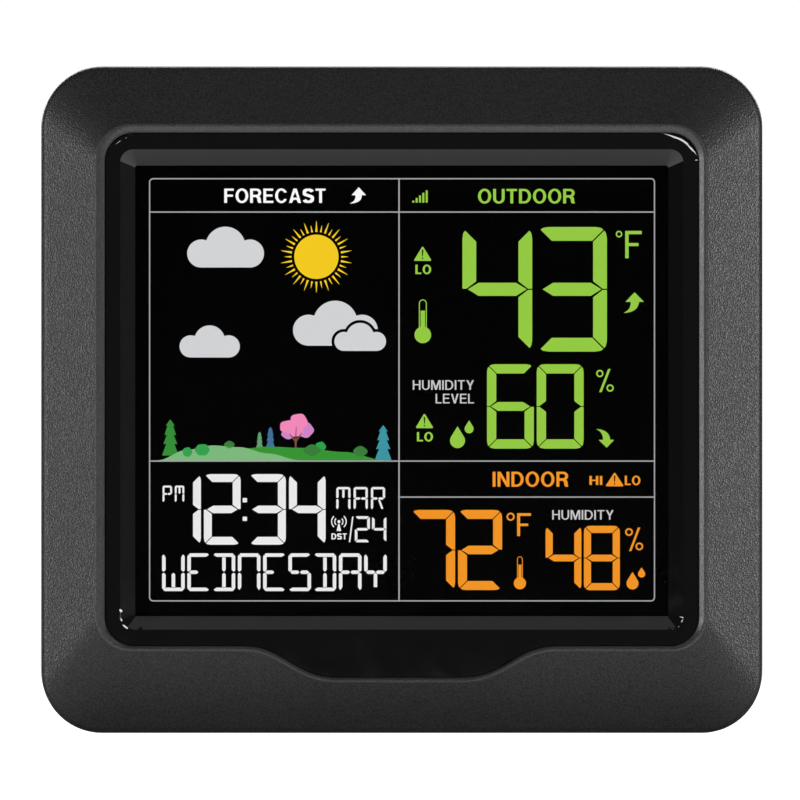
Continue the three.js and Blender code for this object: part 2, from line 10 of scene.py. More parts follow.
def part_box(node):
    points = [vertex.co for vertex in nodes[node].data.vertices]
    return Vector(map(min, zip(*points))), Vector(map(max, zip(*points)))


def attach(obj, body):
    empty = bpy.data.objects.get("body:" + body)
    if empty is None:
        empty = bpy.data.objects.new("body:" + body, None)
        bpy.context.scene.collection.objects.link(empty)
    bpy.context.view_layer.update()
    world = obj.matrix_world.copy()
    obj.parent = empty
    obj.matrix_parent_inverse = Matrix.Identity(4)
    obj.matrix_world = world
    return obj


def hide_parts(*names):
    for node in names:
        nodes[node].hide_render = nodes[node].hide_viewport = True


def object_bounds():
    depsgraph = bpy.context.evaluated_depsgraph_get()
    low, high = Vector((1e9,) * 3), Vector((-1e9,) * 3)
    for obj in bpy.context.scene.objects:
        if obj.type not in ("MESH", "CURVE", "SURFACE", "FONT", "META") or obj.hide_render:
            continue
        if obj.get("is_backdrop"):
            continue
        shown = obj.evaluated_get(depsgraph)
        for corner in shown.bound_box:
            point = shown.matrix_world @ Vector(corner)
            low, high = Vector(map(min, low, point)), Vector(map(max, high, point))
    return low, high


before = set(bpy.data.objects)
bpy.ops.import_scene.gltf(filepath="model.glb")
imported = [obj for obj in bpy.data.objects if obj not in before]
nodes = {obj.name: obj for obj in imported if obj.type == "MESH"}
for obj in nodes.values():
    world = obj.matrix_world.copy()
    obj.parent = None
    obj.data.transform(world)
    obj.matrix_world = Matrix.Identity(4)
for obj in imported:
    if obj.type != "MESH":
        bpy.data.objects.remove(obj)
cad_lo, cad_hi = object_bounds()
MM = 0.001

scene = bpy.context.scene
scene.view_settings.view_transform = "Standard"
scene.view_settings.look = "None"
scene.view_settings.exposure = 0.0
scene.view_settings.gamma = 1.0

# The front's layout is drawn on a grid of GRID units across the frame's width, y downwards, zero at the top left.
GRID_W, GRID_X, GRID_Z = 720.7, 401.75, 732.5
U = (cad_hi.x - cad_lo.x) / GRID_W
LENS_MM, SENSOR_MM = 1000.0, 36.0
REACH = 0.9994 * 800 * U / (SENSOR_MM / LENS_MM)  # from the camera to the frame's widest outline
EYE_X, EYE_Z = (400 - GRID_X) * U, (GRID_Z - 400.25) * U
NEARER = 0.9994 * (1 - 0.0064 / REACH)  # the drawing lies this much nearer than the outline
gx = lambda x: EYE_X + (x - 400) * U * NEARER
gz = lambda y: EYE_Z + (400 - y) * U * NEARER


def lin(r, g, b):
    """sRGB 0..255 to linear."""
    f = lambda c: (c / 255) / 12.92 if c <= 10.31475 else ((c / 255 + 0.055) / 1.055) ** 2.4
    return (f(r), f(g), f(b), 1.0)


# ------------------------------------------------------------------ materials
def new_material(name):
    m = bpy.data.materials.new(name)
    m.use_nodes = True
    return m, m.node_tree.nodes, m.node_tree.links, m.node_tree.nodes["Principled BSDF"]


def node(nt, kind, **inputs):
    n = nt.new(kind)
    for k, v in inputs.items():
        n.inputs[k.replace("_", " ")].default_value = v
    return n


def moulded(name, dark, light, rough, grain=2300, bump=0.35, depth=0.02, spec=0.5, metal=0.0, rough_var=0.06, stretch=None, broad=35, glint=0.0, detail=2.0):
    """A surface with fine grain in colour and relief, and broad faint unevenness in its gloss."""
    m, nt, ln, b = new_material(name)
    at = nt.new("ShaderNodeTexCoord")
    source = at.outputs["Object"]
    if stretch:
        mp = nt.new("ShaderNodeMapping")
        mp.inputs["Scale"].default_value = stretch
        ln.new(source, mp.inputs["Vector"])
        source = mp.outputs["Vector"]
    fine = node(nt, "ShaderNodeTexNoise", Scale=grain, Detail=detail, Roughness=0.6)
    ln.new(source, fine.inputs["Vector"])
    mix = nt.new("ShaderNodeMix")
    mix.data_type = "RGBA"
    mix.inputs["A"].default_value = dark
    mix.inputs["B"].default_value = light
    spread = nt.new("ShaderNodeMapRange")
    spread.inputs["From Min"].default_value = 0.35
    spread.inputs["From Max"].default_value = 0.65
    ln.new(fine.outputs["Fac"], spread.inputs["Value"])
    ln.new(spread.outputs["Result"], mix.inputs["Factor"])
    ln.new(mix.outputs["Result"], b.inputs["Base Color"])
    wide = node(nt, "ShaderNodeTexNoise", Scale=broad, Detail=3.0, Roughness=0.5)
    ln.new(at.outputs["Object"], wide.inputs["Vector"])
    r = nt.new("ShaderNodeMapRange")
    r.inputs["From Min"].default_value = 0.3
    r.inputs["From Max"].default_value = 0.7
    r.inputs["To Min"].default_value = rough - rough_var
    r.inputs["To Max"].default_value = rough + rough_var
    ln.new(wide.outputs["Fac"], r.inputs["Value"])
    if glint:
        g = nt.new("ShaderNodeMapRange")
        g.inputs["From Min"].default_value = 0.36
        g.inputs["From Max"].default_value = 0.64
        g.inputs["To Min"].default_value = glint
        g.inputs["To Max"].default_value = -glint
        ln.new(fine.outputs["Fac"], g.inputs["Value"])
        add = nt.new("ShaderNodeMath")
        ln.new(r.outputs["Result"], add.inputs[0])
        ln.new(g.outputs["Result"], add.inputs[1])
        ln.new(add.outputs["Value"], b.inputs["Roughness"])
    else:
        ln.new(r.outputs["Result"], b.inputs["Roughness"])
    bm = nt.new("ShaderNodeBump")
    bm.inputs["Strength"].default_value = bump
    bm.inputs["Distance"].default_value = depth * MM
    ln.new(fine.outputs["Fac"], bm.inputs["Height"])
    ln.new(bm.outputs["Normal"], b.inputs["Normal"])
    b.inputs["Specular IOR Level"].default_value = spec
    b.inputs["Metallic"].default_value = metal
    return m


def polished(name, colour, rough, wave=45, bump=0.02, ior=1.5):
    """Polished black plastic: faint moulding waviness and hardly any haze."""
    m, nt, ln, b = new_material(name)
    at = nt.new("ShaderNodeTexCoord")
    wide = node(nt, "ShaderNodeTexNoise", Scale=wave, Detail=1.0, Roughness=0.4)
    ln.new(at.outputs["Object"], wide.inputs["Vector"])
    haze = node(nt, "ShaderNodeTexNoise", Scale=160.0, Detail=4.0, Roughness=0.6)
    ln.new(at.outputs["Object"], haze.inputs["Vector"])
    r = nt.new("ShaderNodeMapRange")
    r.inputs["From Min"].default_value = 0.35
    r.inputs["From Max"].default_value = 0.75
    r.inputs["To Min"].default_value = rough
    r.inputs["To Max"].default_value = rough + 0.05
    ln.new(haze.outputs["Fac"], r.inputs["Value"])
    ln.new(r.outputs["Result"], b.inputs["Roughness"])
    bm = nt.new("ShaderNodeBump")
    bm.inputs["Strength"].default_value = bump
    bm.inputs["Distance"].default_value = 0.4 * MM
    ln.new(wide.outputs["Fac"], bm.inputs["Height"])
    ln.new(bm.outputs["Normal"], b.inputs["Normal"])
    b.inputs["Base Color"].default_value = colour
    b.inputs["IOR"].default_value = ior
    return m


def glow(name, rgb, strength=1.08):
    m, nt, ln, b = new_material(name)
    b.inputs["Base Color"].default_value = (0.0, 0.0, 0.0, 1)
    b.inputs["Specular IOR Level"].default_value = 0.0
    b.inputs["Roughness"].default_value = 0.6
    at = nt.new("ShaderNodeTexCoord")
    n = node(nt, "ShaderNodeTexNoise", Scale=26.0, Detail=2.0)
    ln.new(at.outputs["Object"], n.inputs["Vector"])
    mix = nt.new("ShaderNodeMix")
    mix.data_type = "RGBA"
    mix.inputs["A"].default_value = lin(*(c * 0.975 for c in rgb))
    mix.inputs["B"].default_value = lin(*(min(255, c * 1.02) for c in rgb))
    ln.new(n.outputs["Fac"], mix.inputs["Factor"])
    ln.new(mix.outputs["Result"], b.inputs["Emission Color"])
    b.inputs["Emission Strength"].default_value = strength
    return m


charcoal = moulded("moulded_charcoal", lin(26, 26, 27), lin(45, 45, 46), 0.37, grain=2900, bump=1.0, depth=0.078, spec=0.29, rough_var=0.02, glint=0.07, detail=0.0)
# The lip's crest and inner chamfer: the frame's own charcoal painted lighter and glossier, a painted highlight standing
# in for the bright band that light gives along the lip
lip_charcoal_painted_highlight = moulded("moulded_lip_painted_highlight", lin(44, 44, 45), lin(63, 62, 62), 0.36, grain=2900, bump=1.0, depth=0.03, spec=0.42, rough_var=0.02, glint=0.04, detail=0.0)
case_black = moulded("moulded_black", lin(26, 26, 27), lin(36, 36, 37), 0.52, grain=2300, bump=0.5, depth=0.03, spec=0.4)
satin_black = moulded("satin_black", lin(20, 20, 21), lin(26, 26, 27), 0.38, grain=1500, bump=0.15, depth=0.02, spec=0.45)
piano = polished("piano_black", lin(11, 11, 12), 0.04)
rubber = moulded("rubber", lin(22, 22, 22), lin(31, 31, 31), 0.8, grain=1700, bump=0.6, depth=0.05, spec=0.3)
foam = moulded("foam", lin(18, 18, 18), lin(30, 30, 30), 0.95, grain=2600, bump=0.9, depth=0.08, spec=0.1)
film_black = moulded("polarizer_film", (0.0006, 0.0006, 0.0007, 1), (0.0009, 0.0009, 0.001, 1), 0.3, grain=900, bump=0.02, depth=0.005, spec=0.03, rough_var=0.03)
white_film = moulded("optical_film", lin(222, 222, 220), lin(236, 236, 234), 0.5, grain=1800, bump=0.1, depth=0.01)
white_plastic = moulded("white_plastic", lin(205, 205, 202), lin(220, 220, 217), 0.45, grain=1500, bump=0.15, depth=0.02)
steel = moulded("steel", lin(165, 166, 168), lin(196, 197, 199), 0.28, grain=1200, bump=0.25, depth=0.01, metal=1.0, stretch=(1, 12, 12))
black_steel = moulded("black_steel", lin(46, 46, 47), lin(66, 66, 68), 0.36, grain=1800, bump=0.3, depth=0.01, metal=0.9)
nickel = moulded("nickel", lin(186, 184, 176), lin(212, 209, 200), 0.22, grain=1600, bump=0.2, depth=0.01, metal=1.0, stretch=(1, 1, 10))
copper = moulded("copper_winding", lin(128, 62, 28), lin(196, 108, 56), 0.3, grain=420, bump=0.9, depth=0.12, metal=0.85, stretch=(9, 0.4, 0.4))
ferrite = moulded("ferrite", lin(38, 38, 41), lin(58, 58, 62), 0.65, grain=1400, bump=0.5, depth=0.03)
epoxy = moulded("epoxy", lin(12, 12, 12), lin(20, 20, 20), 0.22, grain=500, bump=0.2, depth=0.03)
flex = moulded("polyimide", lin(150, 84, 22), lin(196, 122, 44), 0.3, grain=260, bump=0.1, depth=0.01, stretch=(6, 1, 1))
red_wire = moulded("red_insulation", lin(150, 18, 18), lin(178, 26, 24), 0.4, grain=900, bump=0.1, depth=0.02)
tint_film = moulded("colour_film", lin(94, 108, 66), lin(120, 132, 84), 0.35, grain=400, bump=0.05, depth=0.01)


def circuit(name):
    m, nt, ln, b = new_material(name)
    at = nt.new("ShaderNodeTexCoord")
    brick = nt.new("ShaderNodeTexBrick")
    brick.inputs["Scale"].default_value = 240.0
    brick.inputs["Mortar Size"].default_value = 0.012
    brick.inputs["Color1"].default_value = lin(16, 74, 40)
    brick.inputs["Color2"].default_value = lin(20, 84, 46)
    brick.inputs["Mortar"].default_value = lin(40, 122, 72)
    mp = nt.new("ShaderNodeMapping")
    mp.inputs["Rotation"].default_value = (math.pi / 2, 0, 0)
    ln.new(at.outputs["Object"], mp.inputs["Vector"])
    ln.new(mp.outputs["Vector"], brick.inputs["Vector"])
    ln.new(brick.outputs["Color"], b.inputs["Base Color"])
    n = node(nt, "ShaderNodeTexNoise", Scale=400.0)
    ln.new(at.outputs["Object"], n.inputs["Vector"])
    bm = nt.new("ShaderNodeBump")
    bm.inputs["Strength"].default_value = 0.2
    bm.inputs["Distance"].default_value = 0.02 * MM
    ln.new(n.outputs["Fac"], bm.inputs["Height"])
    ln.new(bm.outputs["Normal"], b.inputs["Normal"])
    b.inputs["Roughness"].default_value = 0.3
    return m


def cell_jacket(name, flip):
    """A printed jacket in two plain bands with bare metal at both ends."""
    m, nt, ln, b = new_material(name)
    at = nt.new("ShaderNodeTexCoord")
    sep = nt.new("ShaderNodeSeparateXYZ")
    ln.new(at.outputs["Object"], sep.inputs["Vector"])
    t = nt.new("ShaderNodeMapRange")
    a, e = (-0.0203, 0.0242) if not flip else (0.0203, -0.0242)
    t.inputs["From Min"].default_value = a
    t.inputs["From Max"].default_value = e
    ln.new(sep.outputs["X"], t.inputs["Value"])
    ramp = nt.new("ShaderNodeValToRGB")
    ramp.color_ramp.interpolation = "CONSTANT"
    el = ramp.color_ramp.elements
    el[0].position, el[0].color = 0.0, lin(190, 190, 188)
    el[1].position, el[1].color = 0.025, lin(24, 44, 84)
    for p, c in ((0.66, (196, 150, 62)), (0.70, (30, 30, 33)), (0.955, (190, 190, 188))):
        n = el.new(p)
        n.color = lin(*c)
    ln.new(t.outputs["Result"], ramp.inputs["Fac"])
    ln.new(ramp.outputs["Color"], b.inputs["Base Color"])
    n = node(nt, "ShaderNodeTexNoise", Scale=300.0, Detail=3.0)
    ln.new(at.outputs["Object"], n.inputs["Vector"])
    bm = nt.new("ShaderNodeBump")
    bm.inputs["Strength"].default_value = 0.15
    bm.inputs["Distance"].default_value = 0.03 * MM
    ln.new(n.outputs["Fac"], bm.inputs["Height"])
    ln.new(bm.outputs["Normal"], b.inputs["Normal"])
    b.inputs["Roughness"].default_value = 0.3
    b.inputs["Metallic"].default_value = 0.35
    return m


def clear(name, tint, rough, ior):
    """Clear sheet: a trace of haze, so that it isn't a perfect optic."""
    m, nt, ln, b = new_material(name)
    at = nt.new("ShaderNodeTexCoord")
    n = node(nt, "ShaderNodeTexNoise", Scale=30.0, Detail=2.0)
    ln.new(at.outputs["Object"], n.inputs["Vector"])
    r = nt.new("ShaderNodeMapRange")
    r.inputs["To Min"].default_value = 0.0
    r.inputs["To Max"].default_value = rough
    ln.new(n.outputs["Fac"], r.inputs["Value"])
    ln.new(r.outputs["Result"], b.inputs["Roughness"])
    b.inputs["Base Color"].default_value = tint
    b.inputs["Transmission Weight"].default_value = 1.0
    b.inputs["IOR"].default_value = ior
    return m


pcb = circuit("circuit_board")
lens_clear = clear("clear_acrylic", (1, 1, 1, 1), 0.012, 1.45)
glass = clear("lcd_glass", (0.93, 0.97, 0.95, 1), 0.01, 1.5)
acrylic = clear("light_guide", (0.96, 0.98, 1.0, 1), 0.05, 1.49)

KEYS = ("light", "plus", "minus", "time", "alert", "search")
CORNERS = ("upper_left", "upper_right", "lower_left", "lower_right")
given = {
    "front_bezel": charcoal, "gloss_trim": piano, "display_lens": lens_clear, "lens_gasket": foam, "front_polarizer": film_black,
    "lcd_front_glass": glass, "lcd_rear_glass": glass, "rear_polarizer": film_black, "colour_filter_film": tint_film,
    "diffuser_sheet": white_film, "light_guide": acrylic, "reflector_sheet": white_film, "led_strip": white_plastic,
    "lcd_holder": white_plastic, "lcd_flex": flex, "main_pcb": pcb, "mcu_blob": epoxy, "clock_crystal": steel, "capacitor": epoxy,
    "receiver_module": pcb, "receiver_antenna": satin_black, "ferrite_rod": ferrite, "ferrite_coil": copper, "piezo_buzzer": satin_black,
    "sensor_board": pcb, "dc_jack": satin_black, "battery_1": cell_jacket("cell_jacket_a", False), "battery_2": cell_jacket("cell_jacket_b", True),
    "contact_positive": nickel, "contact_bridge_left": nickel, "contact_bridge_right": nickel, "contact_negative": nickel,
    "battery_lead_red": red_wire, "battery_lead_black": satin_black, "rear_case": case_black, "battery_door": case_black,
    "kickstand": case_black, "kickstand_pad": rubber, "foot_pad_left": rubber, "foot_pad_right": rubber,
    "pcb_screw_left": steel, "pcb_screw_right": steel,
}
given["battery_3"] = given["battery_1"]
for k in KEYS:
    given["key_" + k] = satin_black
    given["switch_" + k] = steel
for c in CORNERS:
    given["case_screw_" + c] = black_steel
for name, m in given.items():
    nodes[name].data.materials.clear()
    nodes[name].data.materials.append(m)


# ------------------------------------------------------------------ pieces
def piece(name, mesh, material, body="station", replaces=(), sharp=40):
    o = bpy.data.objects.new(name, mesh)
    scene.collection.objects.link(o)
    mesh.materials.clear()
    mesh.materials.append(material)
    for p in mesh.polygons:
        p.use_smooth = True
    mesh.set_sharp_from_angle(angle=math.radians(sharp))
    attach(o, body)
    if replaces:
        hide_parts(*replaces)
    return o


def weighted(o):
    w = o.modifiers.new("weighted", "WEIGHTED_NORMAL")
    w.keep_sharp = True
    w.mode = "FACE_AREA"
    w.weight = 50


# The loops round the display: a rounded rectangle, whose lower side drops into a tab in the middle.
LIP = dict(hw=73.15, z0=21.5, z1=147.85, r=7.1)
TAB = dict(x=-0.5, outer=38.9, inner=15.0, depth=7.7, fall=0.13)
CORNER_STEPS, TAB_STEPS = 20, 22
H_MM = (cad_hi.z - cad_lo.z) / MM
HALF_MM = (cad_hi.x - cad_lo.x) / MM / 2


def tab_points(z0, out, drop, fall):
    p = [(-TAB["outer"], 0.0), (-TAB["outer"] + 10.6, 0.0), (-TAB["inner"] - 11.1, -TAB["depth"]), (-TAB["inner"], -TAB["depth"])]
    left = []
    for i in range(TAB_STEPS + 1):
        t = i / TAB_STEPS
        s = 1 - t
        x, z = (s**3 * p[0][k] + 3 * s * s * t * p[1][k] + 3 * s * t * t * p[2][k] + t**3 * p[3][k] for k in (0, 1))
        dx, dz = (3 * s * s * (p[1][k] - p[0][k]) + 6 * s * t * (p[2][k] - p[1][k]) + 3 * t * t * (p[3][k] - p[2][k]) for k in (0, 1))
        n = math.hypot(dx, dz)
        if drop:
            left.append((x + dz / n * out, z0 + out + z - dx / n * out, -z * fall))
        else:
            left.append((x, z0, 0.0))
    return [(x + TAB["x"], z, f) for x, z, f in left + [(-x, z, f) for x, z, f in reversed(left)]]


def loop(xl, xr, z0, z1, r, y, out=0.0, drop=False, fall=0.0):
    def side(a, b, near, far=()):
        """Points along a straight side: near its start, and near its end, by distance."""
        n = math.dist(a, b)
        at = [d / n for d in near] + [1 - d / n for d in far]
        return [(a[0] + (b[0] - a[0]) * t, y, a[1] + (b[1] - a[1]) * t) for t in at]

    steps = (1.5, 3, 5, 8, 12, 18)
    back = steps[::-1]
    pts = []
    tab = tab_points(z0, out, drop, fall)
    pts_of = ((xr - r, z0 + r, -90), (xr - r, z1 - r, 0), (xl + r, z1 - r, 90), (xl + r, z0 + r, 180))
    ends = (((xr, z0 + r), (xr, z1 - r)), ((xr - r, z1), (xl + r, z1)), ((xl, z1 - r), (xl, z0 + r)), ((xl + r, z0), tab[0][:2]))
    for (cx, cz, start), (p, q) in zip(pts_of, ends):
        for i in range(CORNER_STEPS + 1):
            a = math.radians(start + 90 * i / CORNER_STEPS)
            pts.append((cx + r * math.cos(a), y, cz + r * math.sin(a)))
        pts += side(p, q, steps, () if start == 180 else back)
    pts += [(x, y + f, z) for x, z, f in tab]
    pts += side(tab[-1][:2], (xr - r, z0), (), back)
    return pts


def inset(d, y, bottom=None):
    return loop(-HALF_MM + d, HALF_MM - d, d if bottom is None else bottom, H_MM - d, 15 - d, y)


def lip(out, y, left=None, right=None, top=None, bottom=None, fall=TAB["fall"]):
    l, r, t, b = (out if v is None else v for v in (left, right, top, bottom))
    return loop(-LIP["hw"] - l, LIP["hw"] + r, LIP["z0"] - b, LIP["z1"] + t, LIP["r"] + out * 0.7, y, b, True, fall)


def loft_mesh(name, rings, keep=True):
    """A closed tube of rings, the last joined to the first."""
    n = len(rings[0])
    bm = bmesh.new()
    vs = [[bm.verts.new(Vector(p) * MM) for p in ring] for ring in rings]
    for k in range(len(rings)):
        a, b = vs[k], vs[(k + 1) % len(rings)]
        for i in range(n):
            j = (i + 1) % n
            bm.faces.new((a[i], a[j], b[j], b[i]))
    if not keep:
        bmesh.ops.remove_doubles(bm, verts=bm.verts, dist=1e-7)
    bmesh.ops.recalc_face_normals(bm, faces=bm.faces)
    me = bpy.data.meshes.new(name)
    bm.to_mesh(me)
    bm.free()
    return me


def curve2(p0, c, p1, steps):
    """Points of a quadratic curve, ends included."""
    out = []
    for i in range(steps + 1):
        t = i / steps
        out.append(tuple((1 - t) ** 2 * a + 2 * (1 - t) * t * b + t * t * e for a, b, e in zip(p0, c, p1)))
    return out


# front frame: outer wall, rounded edge, slope, crest, the lip's inner chamfer, and the inside
rings = [inset(0.12, -1.0, 0.12), inset(0.0, -1.14, 0.0), inset(0.1, -5.0, 0.0), inset(0.2, -8.0, 0.0)]
for d, y, b in curve2((0.25, -8.4, 0.0), (0.3, -9.25, 0.25), (1.6, -9.75, 1.3), 7):
    rings.append(inset(d, y, b))
rings.append(lip(2.5, -13.75, bottom=1.7))
lip_from = len(rings)
for o, y, l, r, t, b in curve2((2.3, -13.84, 2.35, 2.1, 2.2, 1.3), (1.75, -14.03, 1.6, 1.45, 1.65, 0.8), (1.3, -13.8, 0.72, 1.15, 1.25, 0.55), 5):
    rings.append(lip(o, y, l, r, t, b))
for o, y, l, r, t, b in curve2((0.42, -13.3, 0.36, 0.2, 0.42, 0.2), (0.06, -13.0, 0.06, 0.06, 0.06, 0.04), (0.0, -12.5, 0.0, 0.0, 0.0, 0.0), 4):
    rings.append(lip(o, y, l, r, t, b))
lip_to = len(rings)
rings += [lip(0.0, -10.9, fall=0.0), lip(2.5, -10.9, fall=0.0), inset(2.8, -7.35, 2.6), inset(2.2, -6.6, 2.2), inset(2.1, -1.12, 2.1), inset(2.0, -1.0, 2.0)]
mesh = loft_mesh("front_bezel_shell", rings)
per_ring = len(rings[0])
bm = bmesh.new()
bm.from_mesh(mesh)
for sx in (-77, 77):
    for sz in (15.5, 149):  # the screw bosses behind the corners, open at the back
        cols = []
        for r0, y0 in ((1.75, -8.9), (1.75, -1.2), (3.8, -1.2), (3.8, -11.0), (0.0, -11.0)):
            cols.append([bm.verts.new(Vector((sx + r0 * math.cos(a * math.tau / 24), y0, sz + r0 * math.sin(a * math.tau / 24))) * MM) for a in range(24)] if r0 else [bm.verts.new(Vector((sx, y0, sz)) * MM)])
        cols.insert(0, [bm.verts.new(Vector((sx, -8.9, sz)) * MM)])
        for a, b in zip(cols, cols[1:]):
            for i in range(24):
                j = (i + 1) % 24
                face = [a[i % len(a)], a[j % len(a)], b[j % len(b)], b[i % len(b)]]
                seen = []
                for v in face:
                    if v not in seen:
                        seen.append(v)
                bm.faces.new(seen)
bmesh.ops.recalc_face_normals(bm, faces=bm.faces)
bm.to_mesh(mesh)
bm.free()
bezel = piece("front_bezel_shell", mesh, charcoal, replaces=("front_bezel",), sharp=21)
# the lip's rings take the lighter charcoal: a painted highlight along the crest and inner chamfer
mesh.materials.append(lip_charcoal_painted_highlight)
for f in mesh.polygons[lip_from * per_ring : lip_to * per_ring]:
    f.material_index = 1
weighted(bezel)


# glossy trim: rounded outer edge, gently crowned ring, sloped window edge
def trim(t, y, r=None):
    """t 0 at the frame's lip, 1 where the slope to the window starts, 2 at the window."""
    a = (72.75, 21.9, 147.45, 6.7)
    b = (69.35, 25.5, 143.8, 3.2)
    c = (65.7, 28.8, 139.85, 0.55)
    p, q, s = (a, b, t) if t <= 1 else (b, c, t - 1)
    hw, z0, z1, rr = (u + (v - u) * s for u, v in zip(p, q))
    return loop(-hw, hw, z0, z1, rr if r is None else r, y)


def trim_edge(out, y):
    return lip(out - 0.15, y, fall=0.0)


def softened_near(rings, edge, spots):
    """The edge loop stays crisp, except near the spots (x, z, reach), where it has the given rounding."""
    out = []
    for ring in rings:
        pts = []
        for p, q in zip(ring, edge):
            w = max(max(0.0, min(1.0, 1.6 * (1 - math.hypot(q[0] - x, q[2] - z) / reach))) for x, z, reach in spots)
            w = w * w * (3 - 2 * w)
            pts.append(tuple(b + (a - b) * w for a, b in zip(p, q)))
        out.append(pts)
    return out


rings = [trim_edge(o, y) for o, y in ((2.1, -9.3), (2.25, -9.45), (2.25, -10.45), (2.1, -10.6), (0.0, -10.6), (0.0, -11.7))]
rings += softened_near([trim_edge(o, y) for o, y in curve2((0.0, -11.7), (0.0, -12.78), (-1.9, -12.78), 12)], trim_edge(0.0, -12.78), ((70.2, 147.0, 6.2), (-70.0, 147.0, 4.0)))
rings += [trim_edge(-2.2, -12.78), trim(0.7, -12.76)]
rings += softened_near([trim(t, y) for t, y in curve2((0.82, -12.75), (1.0, -12.75), (1.18, -12.2), 8)], trim(1.0, -12.74), ((-68.2, 26.8, 2.7), (68.0, 26.8, 2.1)))
rings += [trim(1.5, -11.15), trim(2.0, -9.55), trim(2.0, -9.3)]
mesh = loft_mesh("gloss_trim_ring", rings, keep=False)
ring_piece = piece("gloss_trim_ring", mesh, piano, replaces=("gloss_trim",), sharp=24)
weighted(ring_piece)

# ------------------------------------------------------------------ display drawing
LAYER = -7.46  # mm, rear of the lowest layer, just in front of the front polarizer


def flat_mesh(name, polys, layer=0, thick=0.035):
    """Polygons in grid units (holes are polygons inside others) as a thin solid."""
    c = bpy.data.curves.new(name, "CURVE")
    c.dimensions = "2D"
    c.fill_mode = "BOTH"
    c.extrude = thick * MM / 2
    for poly in polys:
        s = c.splines.new("POLY")
        s.points.add(len(poly) - 1)
        for i, (x, y) in enumerate(poly):
            s.points[i].co = (gx(x), gz(y), 0, 1)
        s.use_cyclic_u = True
    return solid_of(c, name, layer, thick)


def solid_of(c, name, layer, thick, box=None):
    o = bpy.data.objects.new(name + "_tmp", c)
    scene.collection.objects.link(o)
    bpy.context.view_layer.update()
    me = bpy.data.meshes.new_from_object(o.evaluated_get(bpy.context.evaluated_depsgraph_get()))
    bpy.data.objects.remove(o)
    bm = bmesh.new()
    bm.from_mesh(me)
    bmesh.ops.remove_doubles(bm, verts=bm.verts, dist=1e-7)
    if box:
        xs, ys = [v.co.x for v in bm.verts], [v.co.y for v in bm.verts]
        x0, x1, y0, y1 = min(xs), max(xs), min(ys), max(ys)
        fx, fy = (gx(box[2]) - gx(box[0])) / (x1 - x0), (gz(box[1]) - gz(box[3])) / (y1 - y0)
        for v in bm.verts:
            v.co.x = gx(box[0]) + (v.co.x - x0) * fx
            v.co.y = gz(box[3]) + (v.co.y - y0) * fy
    y_mid = (LAYER - thick / 2 - layer * 0.045) * MM
    for v in bm.verts:
        v.co = Vector((v.co.x, y_mid - v.co.z, v.co.y))
    bmesh.ops.recalc_face_normals(bm, faces=bm.faces)
    bm.to_mesh(me)
    bm.free()
    return me


def arc(cx, cy, rx, ry, a0, a1, n=14):
    """Points on an ellipse, degrees, 0 to the right and 90 upwards, with y downwards."""
    return [(cx + rx * math.cos(math.radians(a0 + (a1 - a0) * i / n)), cy - ry * math.sin(math.radians(a0 + (a1 - a0) * i / n))) for i in range(n + 1)]


